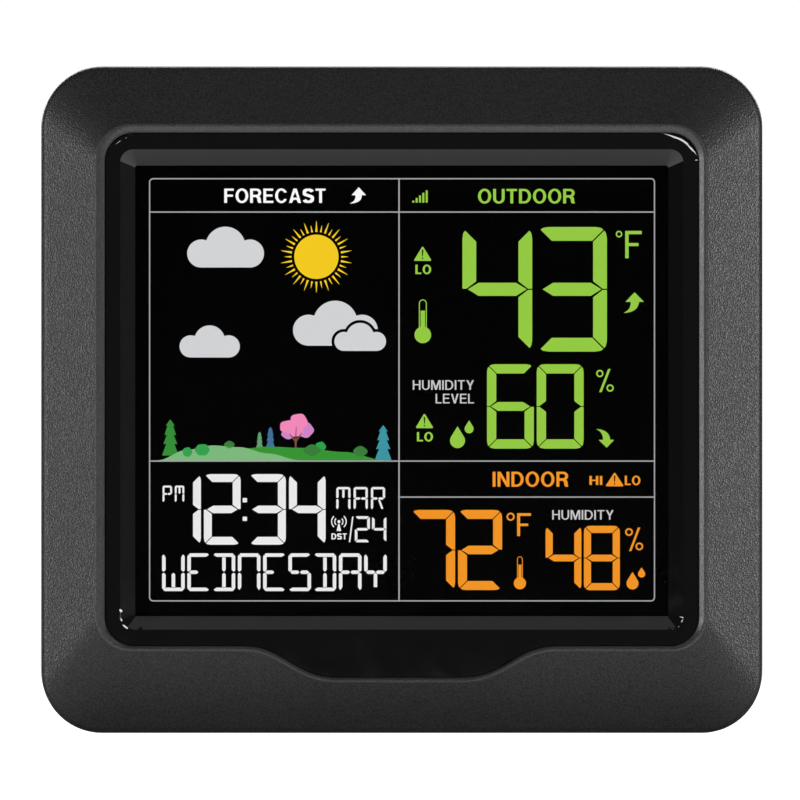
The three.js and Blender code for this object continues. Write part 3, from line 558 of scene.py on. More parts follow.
def glyph(ch, s, h):
    """A plain upright letter, one unit high: its width and its outlines. s is the stem's width, h the bar's."""
    if ch == "I":
        return s, [[(0, 0), (s, 0), (s, 1), (0, 1)]]
    if ch == "L":
        return 0.54, [[(0, 0), (s, 0), (s, 1 - h), (0.54, 1 - h), (0.54, 1), (0, 1)]]
    if ch == "F":
        return 0.58, [[(0, 0), (0.58, 0), (0.58, h), (s, h), (s, 0.42), (0.53, 0.42), (0.53, 0.42 + h), (s, 0.42 + h), (s, 1), (0, 1)]]
    if ch == "E":
        return 0.61, [[(0, 0), (0.6, 0), (0.6, h), (s, h), (s, 0.41), (0.56, 0.41), (0.56, 0.41 + h), (s, 0.41 + h), (s, 1 - h), (0.61, 1 - h), (0.61, 1), (0, 1)]]
    if ch == "T":
        m = 0.31
        return 0.62, [[(0, 0), (0.62, 0), (0.62, h), (m + s / 2, h), (m + s / 2, 1), (m - s / 2, 1), (m - s / 2, h), (0, h)]]
    if ch == "H":
        return 0.68, [[(0, 0), (s, 0), (s, 0.41), (0.68 - s, 0.41), (0.68 - s, 0), (0.68, 0), (0.68, 1), (0.68 - s, 1), (0.68 - s, 0.41 + h), (s, 0.41 + h), (s, 1), (0, 1)]]
    if ch == "N":
        return 0.69, [[(0, 0), (s * 1.05, 0), (0.69 - s, 0.66), (0.69 - s, 0), (0.69, 0), (0.69, 1), (0.69 - s * 1.05, 1), (s, 0.34), (s, 1), (0, 1)]]
    if ch == "M":
        return 0.84, [[(0, 0), (s * 1.4, 0), (0.42, 0.68), (0.84 - s * 1.4, 0), (0.84, 0), (0.84, 1), (0.84 - s * 0.95, 1), (0.84 - s * 0.95, 0.24), (0.42 + s * 0.5, 1), (0.42 - s * 0.5, 1), (s * 0.95, 0.24), (s * 0.95, 1), (0, 1)]]
    if ch == "V":
        return 0.68, [[(0, 0), (s * 1.12, 0), (0.34, 0.74), (0.68 - s * 1.12, 0), (0.68, 0), (0.34 + s * 0.56, 1), (0.34 - s * 0.56, 1)]]
    if ch == "Y":
        return 0.68, [[(0, 0), (s * 1.2, 0), (0.34, 0.42), (0.68 - s * 1.2, 0), (0.68, 0), (0.34 + s / 2, 0.62), (0.34 + s / 2, 1), (0.34 - s / 2, 1), (0.34 - s / 2, 0.62)]]
    if ch == "A":
        return 0.74, [
            [(0.37 - s * 0.58, 0), (0.37 + s * 0.58, 0), (0.74, 1), (0.74 - s * 1.1, 1), (0.74 - s * 1.1 - 0.08, 0.78), (s * 1.1 + 0.08, 0.78), (s * 1.1, 1), (0, 1)],
            [(0.37, 0.24), (0.37 + 0.3 * (0.62 - s), 0.78 - h), (0.37 - 0.3 * (0.62 - s), 0.78 - h)]]
    if ch == "O":
        return 0.78, [arc(0.39, 0.5, 0.39, 0.515, 0, 352, 44), arc(0.39, 0.5, 0.39 - s, 0.515 - h, 0, 350, 36)]
    if ch == "D":
        return 0.71, [
            [(0, 0), (0.32, 0)] + arc(0.32, 0.5, 0.39, 0.5, 80, -80, 20) + [(0.32, 1), (0, 1)],
            [(s, h), (0.31, h)] + arc(0.31, 0.5, 0.39 - s + 0.01, 0.5 - h, 80, -80, 18) + [(0.31, 1 - h), (s, 1 - h)]]
    if ch == "C":
        return 0.74, [arc(0.38, 0.5, 0.38, 0.515, 28, 332, 36) + arc(0.38, 0.5, 0.38 - s, 0.515 - h, 325, 35, 32)]
    if ch == "U":
        return 0.68, [[(0, 0), (s, 0), (s, 0.66)] + arc(0.34, 0.66, 0.34 - s, 0.355 - h, 170, 370 - 0, 16) [:-1] + [(0.68 - s, 0.66), (0.68 - s, 0), (0.68, 0), (0.68, 0.64)] + arc(0.34, 0.66, 0.34, 0.355, 0, -180, 20) + [(0, 0.64)]]
    if ch == "P":
        return 0.66, [
            [(0, 0), (0.38, 0)] + arc(0.38, 0.3, 0.28, 0.3, 80, -80, 14) + [(0.38, 0.6), (s, 0.6), (s, 1), (0, 1)],
            [(s, h), (0.36, h)] + arc(0.36, 0.3, 0.28 - s + 0.02, 0.3 - h, 80, -80, 12) + [(0.36, 0.6 - h), (s, 0.6 - h)]]
    if ch == "R":
        return 0.7, [
            [(0, 0), (0.4, 0)] + arc(0.4, 0.29, 0.28, 0.29, 80, -40, 12) + [(0.56, 0.53), (0.64, 0.64), (0.66, 0.88), (0.7, 1), (0.7 - s * 1.12, 1), (0.45, 0.86), (0.44, 0.7), (0.36, 0.6), (s, 0.6), (s, 1), (0, 1)],
            [(s, h), (0.38, h)] + arc(0.38, 0.29, 0.28 - s + 0.02, 0.29 - h, 80, -80, 12) + [(0.38, 0.58 - h), (s, 0.58 - h)]]
    if ch == "S":
        path = arc(0.33, 0.29, 0.25, 0.21, 18, 215, 16) + arc(0.33, 0.71, 0.26, 0.215, 45, -158, 18)
        wide = []
        for i, (x, y) in enumerate(path):
            a, b = path[max(i - 1, 0)], path[min(i + 1, len(path) - 1)]
            dx, dy = b[0] - a[0], b[1] - a[1]
            n = math.hypot(dx, dy)
            w = (s * abs(dy / n) + h * abs(dx / n)) / 2
            wide.append((x, y, -dy / n * w, dx / n * w))
        return 0.66, [[(x + u, y + v) for x, y, u, v in wide] + [(x - u, y - v) for x, y, u, v in reversed(wide)]]
    raise ValueError(ch)


def word(text, box, stem=0.172, bar=0.148, gap=0.115, layer=0):
    x0, y0, x1, y1 = box
    glyphs = [glyph(ch, stem, bar) for ch in text]
    total = sum(w for w, _ in glyphs) + gap * (len(text) - 1)
    fx, fy = (x1 - x0) / total, y1 - y0
    x, meshes = 0.0, []
    for w, outlines in glyphs:
        meshes.append(flat_mesh("letter", [[(x0 + (x + px) * fx, y0 + py * fy) for px, py in o] for o in outlines], layer))
        x += w + gap
    return joined("word", meshes) if len(meshes) > 1 else meshes[0]


def joined(name, meshes):
    bm = bmesh.new()
    for m in meshes:
        bm.from_mesh(m)
        bpy.data.meshes.remove(m)
    me = bpy.data.meshes.new(name)
    bm.to_mesh(me)
    bm.free()
    return me


def drawn(name, material, meshes):
    me = joined(name, meshes) if len(meshes) > 1 else meshes[0]
    o = bpy.data.objects.new(name, me)
    scene.collection.objects.link(o)
    me.materials.clear()
    me.materials.append(material)
    for p in me.polygons:
        p.use_smooth = False
    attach(o, "station")
    return o


def circle(x, y, r, n=36, a0=0.0, a1=360.0):
    full = abs(a1 - a0) >= 360
    return [(x + r * math.cos(math.radians(a0 + (a1 - a0) * i / n)), y - r * math.sin(math.radians(a0 + (a1 - a0) * i / n))) for i in range(n if full else n + 1)]


def rect(x0, y0, x1, y1):
    return [(x0, y0), (x1, y0), (x1, y1), (x0, y1)]


def round_rect(x0, y0, x1, y1, r, n=6):
    pts = []
    for cx, cy, s in ((x1 - r, y0 + r, 0), (x0 + r, y0 + r, 90), (x0 + r, y1 - r, 180), (x1 - r, y1 - r, 270)):
        pts += circle(cx, cy, r, n, s, s + 90)
    return pts


def stroke(points, w):
    """An open line with thickness, mitred."""
    left, right = [], []
    for i, (x, y) in enumerate(points):
        a = points[max(i - 1, 0)]
        b = points[min(i + 1, len(points) - 1)]
        dx, dy = b[0] - a[0], b[1] - a[1]
        n = math.hypot(dx, dy) or 1
        left.append((x - dy / n * w / 2, y + dx / n * w / 2))
        right.append((x + dy / n * w / 2, y - dx / n * w / 2))
    return left + right[::-1]


# Segment digits. All in a cell x0, y0, x1, y1 with bar width t, and k the scale of the small details.
def segments(x0, y0, x1, y1, t, on, gap=1.0):
    k = t / 13.8
    g = 0.62 * gap * max(k, 0.62)
    ym = (y0 + y1) / 2
    w, h = x1 - x0, y1 - y0

    def flip_x(p):
        return [(x0 + x1 - x, y) for x, y in p]

    def flip_y(p):
        return [(x, y0 + y1 - y) for x, y in p]

    r = 5.5 * k  # rounded outer corner
    c = 2.1 * k + g
    d = 0.72 * g * 2
    a = [(x0 + c + d, y0 + c), (x0 + r + d * 0.6, y0 + 0.9 * k), (x0 + 2.1 * r, y0), (x1 - 2.1 * r, y0), (x1 - r - d * 0.6, y0 + 0.9 * k), (x1 - c - d, y0 + c), (x1 - t - d, y0 + t), (x0 + t + d, y0 + t)]
    f = [(x0, y0 + 2.1 * r), (x0 + 0.9 * k, y0 + r + d * 0.6), (x0 + c, y0 + c + d), (x0 + t, y0 + t + d), (x0 + t, ym - 7.4 * k - g), (x0 + 4.2 * k, ym - g), (x0, ym - g)]
    m = 6.55 * k
    mid = [(x0 + 4.9 * k + g, ym), (x0 + t + 1.6 * k + g, ym - m), (x1 - t - 1.6 * k - g, ym - m), (x1 - 4.9 * k - g, ym), (x1 - t - 1.6 * k - g, ym + m), (x0 + t + 1.6 * k + g, ym + m)]
    shapes = {"a": a, "f": f, "b": flip_x(f), "g": mid, "e": flip_y(f), "c": flip_y(flip_x(f)), "d": flip_y(a)}
    return [shapes[s] for s in on]


SEVEN = {"0": "abcdef", "1": "bc", "2": "abged", "3": "abgcd", "4": "fgbc", "6": "afgedc", "7": "abc", "8": "abcdefg"}


def digit(ch, x0, y0, x1, y1, t, gap=1.0):
    return segments(x0, y0, x1, y1, t, SEVEN[ch], gap)


def alpha(ch, x0, y0, x1, y1, t, gap=0.9):
    """A letter of a fourteen-segment cell: thin bars with small gaps."""
    ym, xm = (y0 + y1) / 2, (x0 + x1) / 2
    g, q = gap / 2, t * 0.5

    def bar_h(xa, xb, y, out):
        # out -1: top side, 1: bottom side, 0: middle; the slanted ends follow the mitre
        if out == 0:
            return [(xa + q, y - q), (xb - q, y - q), (xb, y), (xb - q, y + q), (xa + q, y + q), (xa, y)]
        s = out
        edge, inner = y, y - s * t
        return [(xa + g + 1.2 * q, edge), (xb - g - 1.2 * q, edge), (xb - g - 0.3 * q, edge - s * 0.9 * q), (xb - g - t, inner), (xa + g + t, inner), (xa + g + 0.3 * q, edge - s * 0.9 * q)]

    def bar_v(ya, yb, x, side):
        s = side
        edge, inner = x, x - s * t
        return [(edge, ya + g + 1.4 * q), (edge - s * 0.9 * q, ya + g + 0.3 * q), (inner, ya + g + t), (inner, yb - g - q), (edge - s * q, yb - g), (edge, yb - g - 0.6 * q)]

    top = bar_h(x0, x1, y0, -1)
    bottom = bar_h(x0, x1, y1, 1)
    f = bar_v(y0, ym, x0, -1)
    b = bar_v(y0, ym, x1, 1)
    e = [(x, y0 + y1 - y) for x, y in f]
    c = [(x, y0 + y1 - y) for x, y in b]
    g1 = bar_h(x0 + t * 0.55, xm - g * 0.4, ym, 0)
    g2 = bar_h(xm + g * 0.4, x1 - t * 0.55, ym, 0)
    i = [(xm - q, y0 + t + g), (xm + q, y0 + t + g), (xm + q, ym - g - q), (xm, ym - g), (xm - q, ym - g - q)]
    l = [(x, y0 + y1 - y) for x, y in i]
    k = [(xm + q * 0.2, ym + q + g), (xm + q * 1.9, ym + q + g), (x1 - t * 0.75, y1 - 1.2), (x1 - t * 1.7, y1 - 1.2)]
    table = {
        "W": [f, e, bottom, c, b, l], "E": [top, f, e, bottom, g1], "D": [top, b, c, bottom, i, l], "N": [top, f, e, b, c],
        "S": [top, f, g1, g2, c, bottom], "A": [top, f, e, b, c, g1, g2], "Y": [f, b, g1, g2, l], "M": [top, f, e, b, c, i],
        "R": [top, f, e, b, g1, g2, k], "P": [top, f, e, b, g1, g2],
    }
    return table[ch]


def cloud(x0, x1, y0, y1, lobe_top, dome_x, dome_r, grow=0.0):
    """A flat-bottomed cloud of two side lobes and a dome, as one outline."""
    h = (y1 - lobe_top) / 2
    cy = y1 - h
    parts = [(x0 + h, cy, h + grow), (x1 - h, cy, h + grow), (dome_x, y0 + dome_r, dome_r + grow)]
    ox, oy = (x0 + x1) / 2, y1 - h * 0.9
    pts = []
    for i in range(240):
        a = math.tau * i / 240
        dx, dy = math.cos(a), -math.sin(a)
        best = 0.0
        for px, py, r in parts:
            ex, ey = ox - px, oy - py
            bq, cq = ex * dx + ey * dy, ex * ex + ey * ey - r * r
            disc = bq * bq - cq
            if disc > 0:
                best = max(best, -bq + math.sqrt(disc))
        # the slab between the lobes
        lo_x, hi_x, lo_y, hi_y = x0 + h, x1 - h, cy - h - grow + 1.0, y1 + grow
        reach = 1e9
        if abs(dx) > 1e-9:
            reach = min(reach, ((hi_x if dx > 0 else lo_x) - ox) / dx)
        if abs(dy) > 1e-9:
            reach = min(reach, ((hi_y if dy > 0 else lo_y) - oy) / dy)
        best = max(best, reach)
        pts.append((ox + dx * best, oy + dy * best))
    return pts


def drop(x, tip, cy, r):
    """A water drop: a circle drawn up to a tip."""
    a = math.acos(r / (cy - tip) * 0.98)
    pts = [(x, tip)]
    n = 28
    for i in range(n + 1):
        b = a + (math.tau - 2 * a) * i / n
        pts.append((x + r * math.sin(b), cy - r * math.cos(b)))
    return pts


def thermometer(x, top, bulb_y, bulb_r, half, wall, fluid_half, fluid_top):
    """Outline tube with a filled column that joins the bulb."""
    join = bulb_y - math.sqrt(bulb_r**2 - half**2)
    outer = circle(x, top + half, half, 14, 180, 0) + [(x + half, join)]
    a0 = math.degrees(math.asin(half / bulb_r))
    outer += circle(x, bulb_y, bulb_r, 34, 90 - a0, 90 - 360 + a0)
    r2 = half - wall
    gap_l, gap_r = x - fluid_half, x + fluid_half
    inner = circle(x, top + half, r2, 12, 180, 0) + [(x + r2, join - 0.8), (gap_r, join - 0.8), (gap_r, fluid_top), (gap_l, fluid_top), (gap_l, join - 0.8), (x - r2, join - 0.8)]
    return [outer, inner]


def alert(x, top, base, half):
    """Warning triangle with a cut-out exclamation mark."""
    r = half * 0.11
    tri = []
    for px, py, s in ((x + half - r, base - r, -60), (x, top + 2 * r, 30), (x - half + r, base - r, 150)):
        tri += circle(px, py, r, 5, s - 30 if s != 30 else 30, s + 90 if s != 30 else 150)
    h = base - top
    bar = [(x - half * 0.09, top + h * 0.27), (x + half * 0.09, top + h * 0.27), (x + half * 0.05, top + h * 0.7), (x - half * 0.05, top + h * 0.7)]
    return [tri, bar, circle(x, top + h * 0.83, half * 0.09, 10)]


def bent_arrow(tail, notch_l, notch_r, left, apex, right, bend):
    """An arrow whose stem bends away to a thin tail."""
    def quad(p, c, q, n=12):
        return [tuple((1 - t) ** 2 * a + 2 * (1 - t) * t * b + t * t * e for a, b, e in zip(p, c, q)) for t in (i / n for i in range(n + 1))]

    inner, outer = bend
    return quad(notch_l, inner, tail) + quad(tail, outer, notch_r)[1:] + [right, apex, left]


def ring_shape(x, y, r, r2):
    return [circle(x, y, r, 28), circle(x, y, r2, 24)]


white = glow("segment_white", (232, 232, 232))
bright = glow("print_white", (247, 247, 247))
line_grey = glow("print_line", (162, 162, 164))
label_grey = glow("print_grey", (196, 196, 198))
green = glow("segment_green", (146, 199, 67))
orange = glow("segment_orange", (239, 147, 38))
cloud_grey = glow("print_cloud", (208, 210, 212))
gold = glow("print_sun", (241, 200, 32))

# lines between the fields
drawn("lcd_lines", line_grey, [
    flat_mesh("frame", [round_rect(149.0, 178.1, 655.1, 601.5, 4.2), round_rect(150.25, 179.35, 653.85, 600.25, 3.0)]),
    *(flat_mesh("bar", [rect(*r)]) for r in (
        (150.2, 211.4, 398.3, 212.7), (399.9, 211.4, 654.0, 212.7), (150.2, 460.4, 398.3, 461.7), (399.9, 460.4, 654.0, 461.7),
        (399.9, 496.4, 654.0, 497.7), (398.35, 179.3, 399.75, 600.3))),
])
drawn("lcd_forecast_label", bright, [
    word("FORECAST", (224.3, 188.6, 325.6, 202.9)),
    flat_mesh("arrow", [bent_arrow((349.5, 203.6), (355.3, 195.2), (361.8, 195.2), (351.6, 195.2), (358.7, 187.2), (366.0, 195.2), ((356.4, 201.0), (362.0, 203.2)))]),
])
drawn("lcd_outdoor_label", green, [
    word("OUTDOOR", (478.0, 188.9, 575.0, 203.4)),
    flat_mesh("signal", [rect(412.3 + i * 3.35, 202.6 - h, 414.3 + i * 3.35, 202.6) for i, h in enumerate((1.9, 4.6, 7.2, 9.8, 12.2))]),
])
drawn("lcd_indoor_label", orange, [
    word("INDOOR", (492.6, 471.7, 568.5, 486.7)),
    word("HI", (589.4, 475.9, 602.3, 484.9), 0.19, 0.16),
    word("LO", (624.8, 475.7, 640.4, 485.1), 0.19, 0.16),
    flat_mesh("alert", alert(614.6, 471.8, 486.4, 8.7)),
])
drawn("lcd_humidity_labels", label_grey, [
    word("HUMIDITY", (412.8, 380.2, 474.0, 389.8), 0.14, 0.12, 0.13),
    word("LEVEL", (435.6, 393.8, 474.0, 403.4), 0.14, 0.12, 0.13),
    word("HUMIDITY", (552.2, 510.1, 613.6, 519.6), 0.14, 0.12, 0.13),
])

# weather picture
drawn("lcd_cloud_1", cloud_grey, [flat_mesh("cloud", [cloud(187.2, 264.0, 226.7, 267.5, 239.5, 225.4, 20.0)])])
drawn("lcd_cloud_2", cloud_grey, [flat_mesh("cloud", [cloud(179.6, 239.8, 325.4, 357.5, 335.3, 209.6, 15.4)])])
drawn("lcd_cloud_3", cloud_grey, [flat_mesh("cloud", [cloud(293.0, 377.8, 300.7, 345.7, 314.7, 335.3, 22.2)])])
drawn("lcd_cloud_gap", film_black, [flat_mesh("cloud", [cloud(334.4, 386.0, 322.9, 350.9, 331.9, 360.1, 13.8, grow=2.9)], layer=1)])
drawn("lcd_cloud_4", cloud_grey, [flat_mesh("cloud", [cloud(334.4, 386.0, 322.9, 350.9, 331.9, 360.1, 13.8)], layer=2)])
rays = []
for i in range(36):
    a = math.tau * i / 36
    r1, w = (35.9, 0.046) if i % 2 == 0 else (31.8, 0.038)
    rays.append([(316.4 + 24.9 * math.sin(a - w), 256.8 - 24.9 * math.cos(a - w)), (316.4 + 24.9 * math.sin(a + w), 256.8 - 24.9 * math.cos(a + w)), (316.4 + r1 * math.sin(a + 0.004), 256.8 - r1 * math.cos(a + 0.004)), (316.4 + r1 * math.sin(a - 0.004), 256.8 - r1 * math.cos(a - 0.004))])
drawn("lcd_sun", gold, [flat_mesh("disc", [circle(316.4, 256.8, 22.15, 72)]), flat_mesh("rays", rays)])


def hill(x0, x1, points, base=460.4, n=40):
    """Ground: a smooth crest through the points, flat below."""
    out = []
    for i in range(n + 1):
        x = x0 + (x1 - x0) * i / n
        y = base
        for (xa, ya), (xb, yb) in zip(points, points[1:]):
            if xa <= x <= xb:
                t = (x - xa) / (xb - xa)
                t = t * t * (3 - 2 * t)
                y = ya + (yb - ya) * t
        out.append((x, min(y, base - 0.05)))
    return out + [(x1, base), (x0, base)]


def conifer(x, base, top, half, tiers=4):
    pts_r = [(x, top)]
    h = base - top
    for i in range(tiers):
        y = top + h * (i + 1) / tiers
        w = half * (0.42 + 0.58 * (i + 1) / tiers)
        pts_r.append((x + w, y - (0.06 * h if i < tiers - 1 else 0)))
        if i < tiers - 1:
            pts_r.append((x + w * 0.58, y - 0.075 * h))
    return pts_r + [(2 * x - px, py) for px, py in reversed(pts_r[1:])]


def blob(x, y, rx, ry, bumps, amp, phase=0.0, n=60):
    return [(x + (1 + amp * math.cos(bumps * a + phase)) * rx * math.cos(a), y - (1 + amp * math.cos(bumps * a + phase)) * ry * math.sin(a)) for a in (math.tau * i / n for i in range(n))]


drawn("lcd_tree_left", glow("print_tree_green", (54, 140, 56)), [flat_mesh("tree", [conifer(170.3, 455.5, 419.2, 8.2)])])
drawn("lcd_tree_far", glow("print_tree_pale", (98, 156, 110)), [flat_mesh("tree", [conifer(259.6, 447.6, 431.6, 3.5)])])
drawn("lcd_tree_blue", glow("print_tree_blue", (66, 110, 150)), [flat_mesh("tree", [conifer(270.4, 447.6, 426.8, 4.6)])])
drawn("lcd_tree_right", glow("print_tree_teal", (62, 146, 160)), [flat_mesh("tree", [conifer(383.2, 460.2, 425.0, 8.4)])])
drawn("lcd_blossom_back", glow("print_blossom_2", (206, 132, 198)), [flat_mesh("blossom", [blob(305.0, 430.0, 8.6, 7.6, 5, 0.05, 0.4)]), flat_mesh("blossom", [blob(288.4, 434.2, 6.8, 4.8, 4, 0.06)])])
drawn("lcd_blossom", glow("print_blossom_1", (238, 136, 184)), [
    flat_mesh("blossom", [blob(298.6, 421.8, 8.8, 8.2, 5, 0.05, 0.8)], layer=1), flat_mesh("blossom", [blob(287.6, 426.8, 7.8, 6.4, 5, 0.05, 0.2)], layer=1.4), flat_mesh("blossom", [blob(296.4, 431.0, 7.2, 5.4, 4, 0.05, 1.0)], layer=1.8)])
drawn("lcd_tree_trunk", glow("print_trunk", (120, 76, 66)), [flat_mesh("trunk", [[(294.9, 448.2), (294.6, 441.6), (289.4, 434.4), (290.0, 434.0), (295.1, 439.2), (295.9, 426.8), (296.5, 426.8), (296.4, 439.0), (301.4, 432.8), (302.0, 433.2), (296.7, 441.8), (296.6, 448.2)]], layer=2.6)])
drawn("lcd_ground_back", glow("print_ground_2", (56, 146, 52)), [flat_mesh("ground", [hill(236, 385, [(236, 449.4), (268, 446.6), (300, 447.8), (345, 452.0), (385, 460.3)])], layer=1)])
drawn("lcd_bush_1", glow("print_bush_1", (58, 124, 58)), [flat_mesh("bush", [blob(229.4, 444.6, 5.0, 3.6, 4, 0.05), blob(312.0, 450.2, 8.2, 5.4, 4, 0.08), blob(360.4, 451.4, 6.8, 5.2, 4, 0.05)], layer=2)])
drawn("lcd_bush_2", glow("print_bush_2", (44, 160, 72)), [flat_mesh("bush", [blob(320.6, 446.8, 5.2, 5.0, 5, 0.05), ], layer=1)])
drawn("lcd_ground_front", glow("print_ground_1", (124, 184, 124)), [flat_mesh("ground", [hill(158, 300, [(158, 460.3), (186, 450.0), (213, 445.4), (240, 447.2), (268, 453.4), (300, 460.3)])], layer=2)])
drawn("lcd_bush_3", glow("print_bush_3", (54, 160, 78)), [flat_mesh("bush", [blob(187.4, 452.0, 4.7, 4.7, 5, 0.04), blob(202.3, 449.8, 7.2, 5.8, 6, 0.04)], layer=3)])

# clock
drawn("lcd_time", white, [
    flat_mesh("time", digit("1", 164.2, 474.1, 200.9, 544.7, 7.9) + digit("2", 203.9, 474.1, 240.6, 544.7, 7.9) + digit("3", 249.1, 474.1, 285.8, 544.7, 7.9) + digit("4", 289.0, 474.1, 325.6, 544.7, 7.9)
              + [rect(242.7, 498.0, 247.0, 502.3), rect(242.7, 516.7, 247.0, 520.9)]),
])
week = []
for i, ch in enumerate("WEDNESDAY"):
    x = 162.1 + i * 25.26
    week += alpha(ch, x, 553.3, x + 22.6, 591.1, 3.5, 1.1)
drawn("lcd_weekday", white, [flat_mesh("week", week)])
date = []
for i, ch in enumerate("MAR"):
    x = 336.3 + i * 17.3
    date += alpha(ch, x, 487.0, x + 14.2, 510.0, 2.3, 0.7)
for i, ch in enumerate("PM"):
    x = 162.6 + i * 12.2
    date += alpha(ch, x, 485.6, x + 9.5, 502.3, 1.9, 0.15)
date += segments(354.8, 516.2, 369.9, 542.3, 2.7, SEVEN["2"], 0.8) + segments(372.0, 516.2, 386.4, 542.3, 2.7, SEVEN["4"], 0.8)
date += [[(352.1, 516.6), (353.5, 516.6), (350.2, 542.2), (348.8, 542.2)]]
for r in (4.1, 7.3):
    for s in (0, 180):
        date.append(circle(338.9, 521.6, r + 0.55, 12, s - 48, s + 48) + circle(338.9, 521.6, r - 0.55, 12, s + 48, s - 48))
date += [circle(338.9, 521.6, 1.5, 14), [(338.3, 523.6), (339.5, 523.6), (341.2, 531.0), (336.6, 531.0)]]
drawn("lcd_date", white, [flat_mesh("date", date), word("DST", (331.4, 533.4, 346.8, 539.4), 0.2, 0.17)])

# outdoor field
drawn("lcd_outdoor_temperature", green, [
    flat_mesh("number", digit("4", 462.4, 227.0, 532.2, 351.6, 13.8) + digit("3", 537.0, 227.0, 606.9, 351.6, 13.8)),
    flat_mesh("unit", ring_shape(619.0, 234.1, 3.3, 1.95) + [[(625.2, 230.9), (641.7, 230.9), (641.7, 234.2), (628.6, 234.2), (628.6, 243.0), (638.5, 243.0), (638.5, 246.1), (628.6, 246.1), (628.6, 258.3), (625.2, 258.3)]]),
    flat_mesh("tube", thermometer(422.8, 299.4, 334.9, 8.3, 3.95, 0.95, 2.25, 310.6)),
    flat_mesh("arrow", [bent_arrow((623.3, 312.9), (630.6, 301.9), (639.0, 301.9), (625.4, 301.9), (634.6, 292.2), (643.9, 301.9), ((631.4, 309.6), (638.0, 312.6)))]),
    flat_mesh("alert", alert(422.6, 245.8, 260.9, 8.5)),
    word("LO", (415.4, 264.7, 431.2, 274.1), 0.2, 0.17),
])
percent = lambda ax, ay, bx, by, r, r2, tx, ty, ux, uy, w: ring_shape(ax, ay, r, r2) + ring_shape(bx, by, r, r2) + [[(tx - w, ty), (tx + w, ty), (ux + w, uy), (ux - w, uy)]]
drawn("lcd_outdoor_humidity", green, [
    flat_mesh("number", digit("6", 487.0, 364.2, 533.8, 448.6, 9.3) + digit("0", 536.7, 364.2, 583.6, 448.6, 9.3)),
    flat_mesh("unit", percent(599.8, 373.5, 610.1, 388.0, 3.7, 2.15, 609.4, 368.9, 600.4, 392.2, 1.25)),
    flat_mesh("drops", [drop(457.5, 426.2, 440.6, 7.5), drop(469.1, 420.3, 428.8, 4.5)]),
    flat_mesh("arrow", [bent_arrow((596.0, 429.0), (610.3, 439.8), (603.0, 439.8), (614.2, 439.8), (606.7, 447.7), (598.6, 439.8), ((609.2, 429.4), (603.2, 432.0)))]),
    flat_mesh("alert", alert(424.4, 413.0, 428.2, 8.5)),
    word("LO", (416.9, 432.1, 433.0, 441.4), 0.2, 0.17),
])
# indoor field
drawn("lcd_indoor_temperature", orange, [
    flat_mesh("number", digit("7", 411.0, 509.9, 455.1, 590.0, 9.0) + digit("2", 458.0, 509.9, 502.1, 590.0, 9.0)),
    flat_mesh("unit", ring_shape(510.6, 516.7, 4.1, 2.45) + [[(517.1, 513.2), (531.0, 513.2), (531.0, 515.9), (520.1, 515.9), (520.1, 523.5), (528.2, 523.5), (528.2, 526.1), (520.1, 526.1), (520.1, 536.1), (517.1, 536.1)]]),
    flat_mesh("tube", thermometer(519.9, 556.4, 583.2, 6.1, 2.8, 0.7, 1.55, 564.6)),
])
drawn("lcd_indoor_humidity", orange, [
    flat_mesh("number", digit("4", 545.6, 525.8, 581.4, 590.2, 7.1) + digit("8", 583.9, 525.8, 619.8, 590.2, 7.1)),
    flat_mesh("unit", percent(629.0, 532.0, 639.3, 546.4, 3.9, 2.3, 639.1, 527.5, 630.2, 551.1, 1.15)),
    flat_mesh("drops", [drop(632.5, 571.8, 583.4, 6.0), drop(641.6, 567.2, 573.9, 3.6)]),
])

# ------------------------------------------------------------------ rear and moving parts: CAD forms with softened edges
def softened(name, body, width=0.18, angle=32):
    src = nodes[name].data
    bm = bmesh.new()
    bm.from_mesh(src)
    bmesh.ops.remove_doubles(bm, verts=bm.verts, dist=2e-6)
    bmesh.ops.dissolve_limit(bm, angle_limit=math.radians(1.0), use_dissolve_boundaries=False, verts=bm.verts, edges=bm.edges)
    bmesh.ops.dissolve_degenerate(bm, dist=1e-6, edges=bm.edges)
    me = bpy.data.meshes.new(name + "_moulding")
    bm.to_mesh(me)
    bm.free()
    o = piece(name + "_moulding", me, given[name], body=body, replaces=(name,), sharp=angle)
    be = o.modifiers.new("edges", "BEVEL")
    be.width = width * MM
    be.segments = 2
    be.limit_method = "ANGLE"
    be.angle_limit = math.radians(angle)
    be.use_clamp_overlap = True
    be.harden_normals = False
    weighted(o)
    return o


for name, body, width in (("rear_case", "station", 0.15), ("battery_door", "battery_door", 0.2), ("kickstand", "kickstand", 0.22)):
    softened(name, body, width)
for k in KEYS:
    softened("key_" + k, "key_" + k, 0.25)
for name in ("kickstand_pad", "foot_pad_left", "foot_pad_right"):
    softened(name, "kickstand" if name == "kickstand_pad" else "station", 0.3)

# raised, printed symbols on the keys, drawn in mm round each key's middle
key_print = moulded("key_print", lin(176, 176, 175), lin(200, 200, 198), 0.5, grain=2600, bump=0.2, depth=0.01)


def bar_mm(x0, z0, x1, z1, w):
    n = math.hypot(x1 - x0, z1 - z0)
    u, v = -(z1 - z0) / n * w / 2, (x1 - x0) / n * w / 2
    return [(x0 + u, z0 + v), (x1 + u, z1 + v), (x1 - u, z1 - v), (x0 - u, z0 - v)]


def ring_mm(x, z, r, r2, n=28):
    return [[(x + q * math.cos(math.tau * i / n), z + q * math.sin(math.tau * i / n)) for i in range(n)] for q in ((r, r2) if r2 else (r,))]


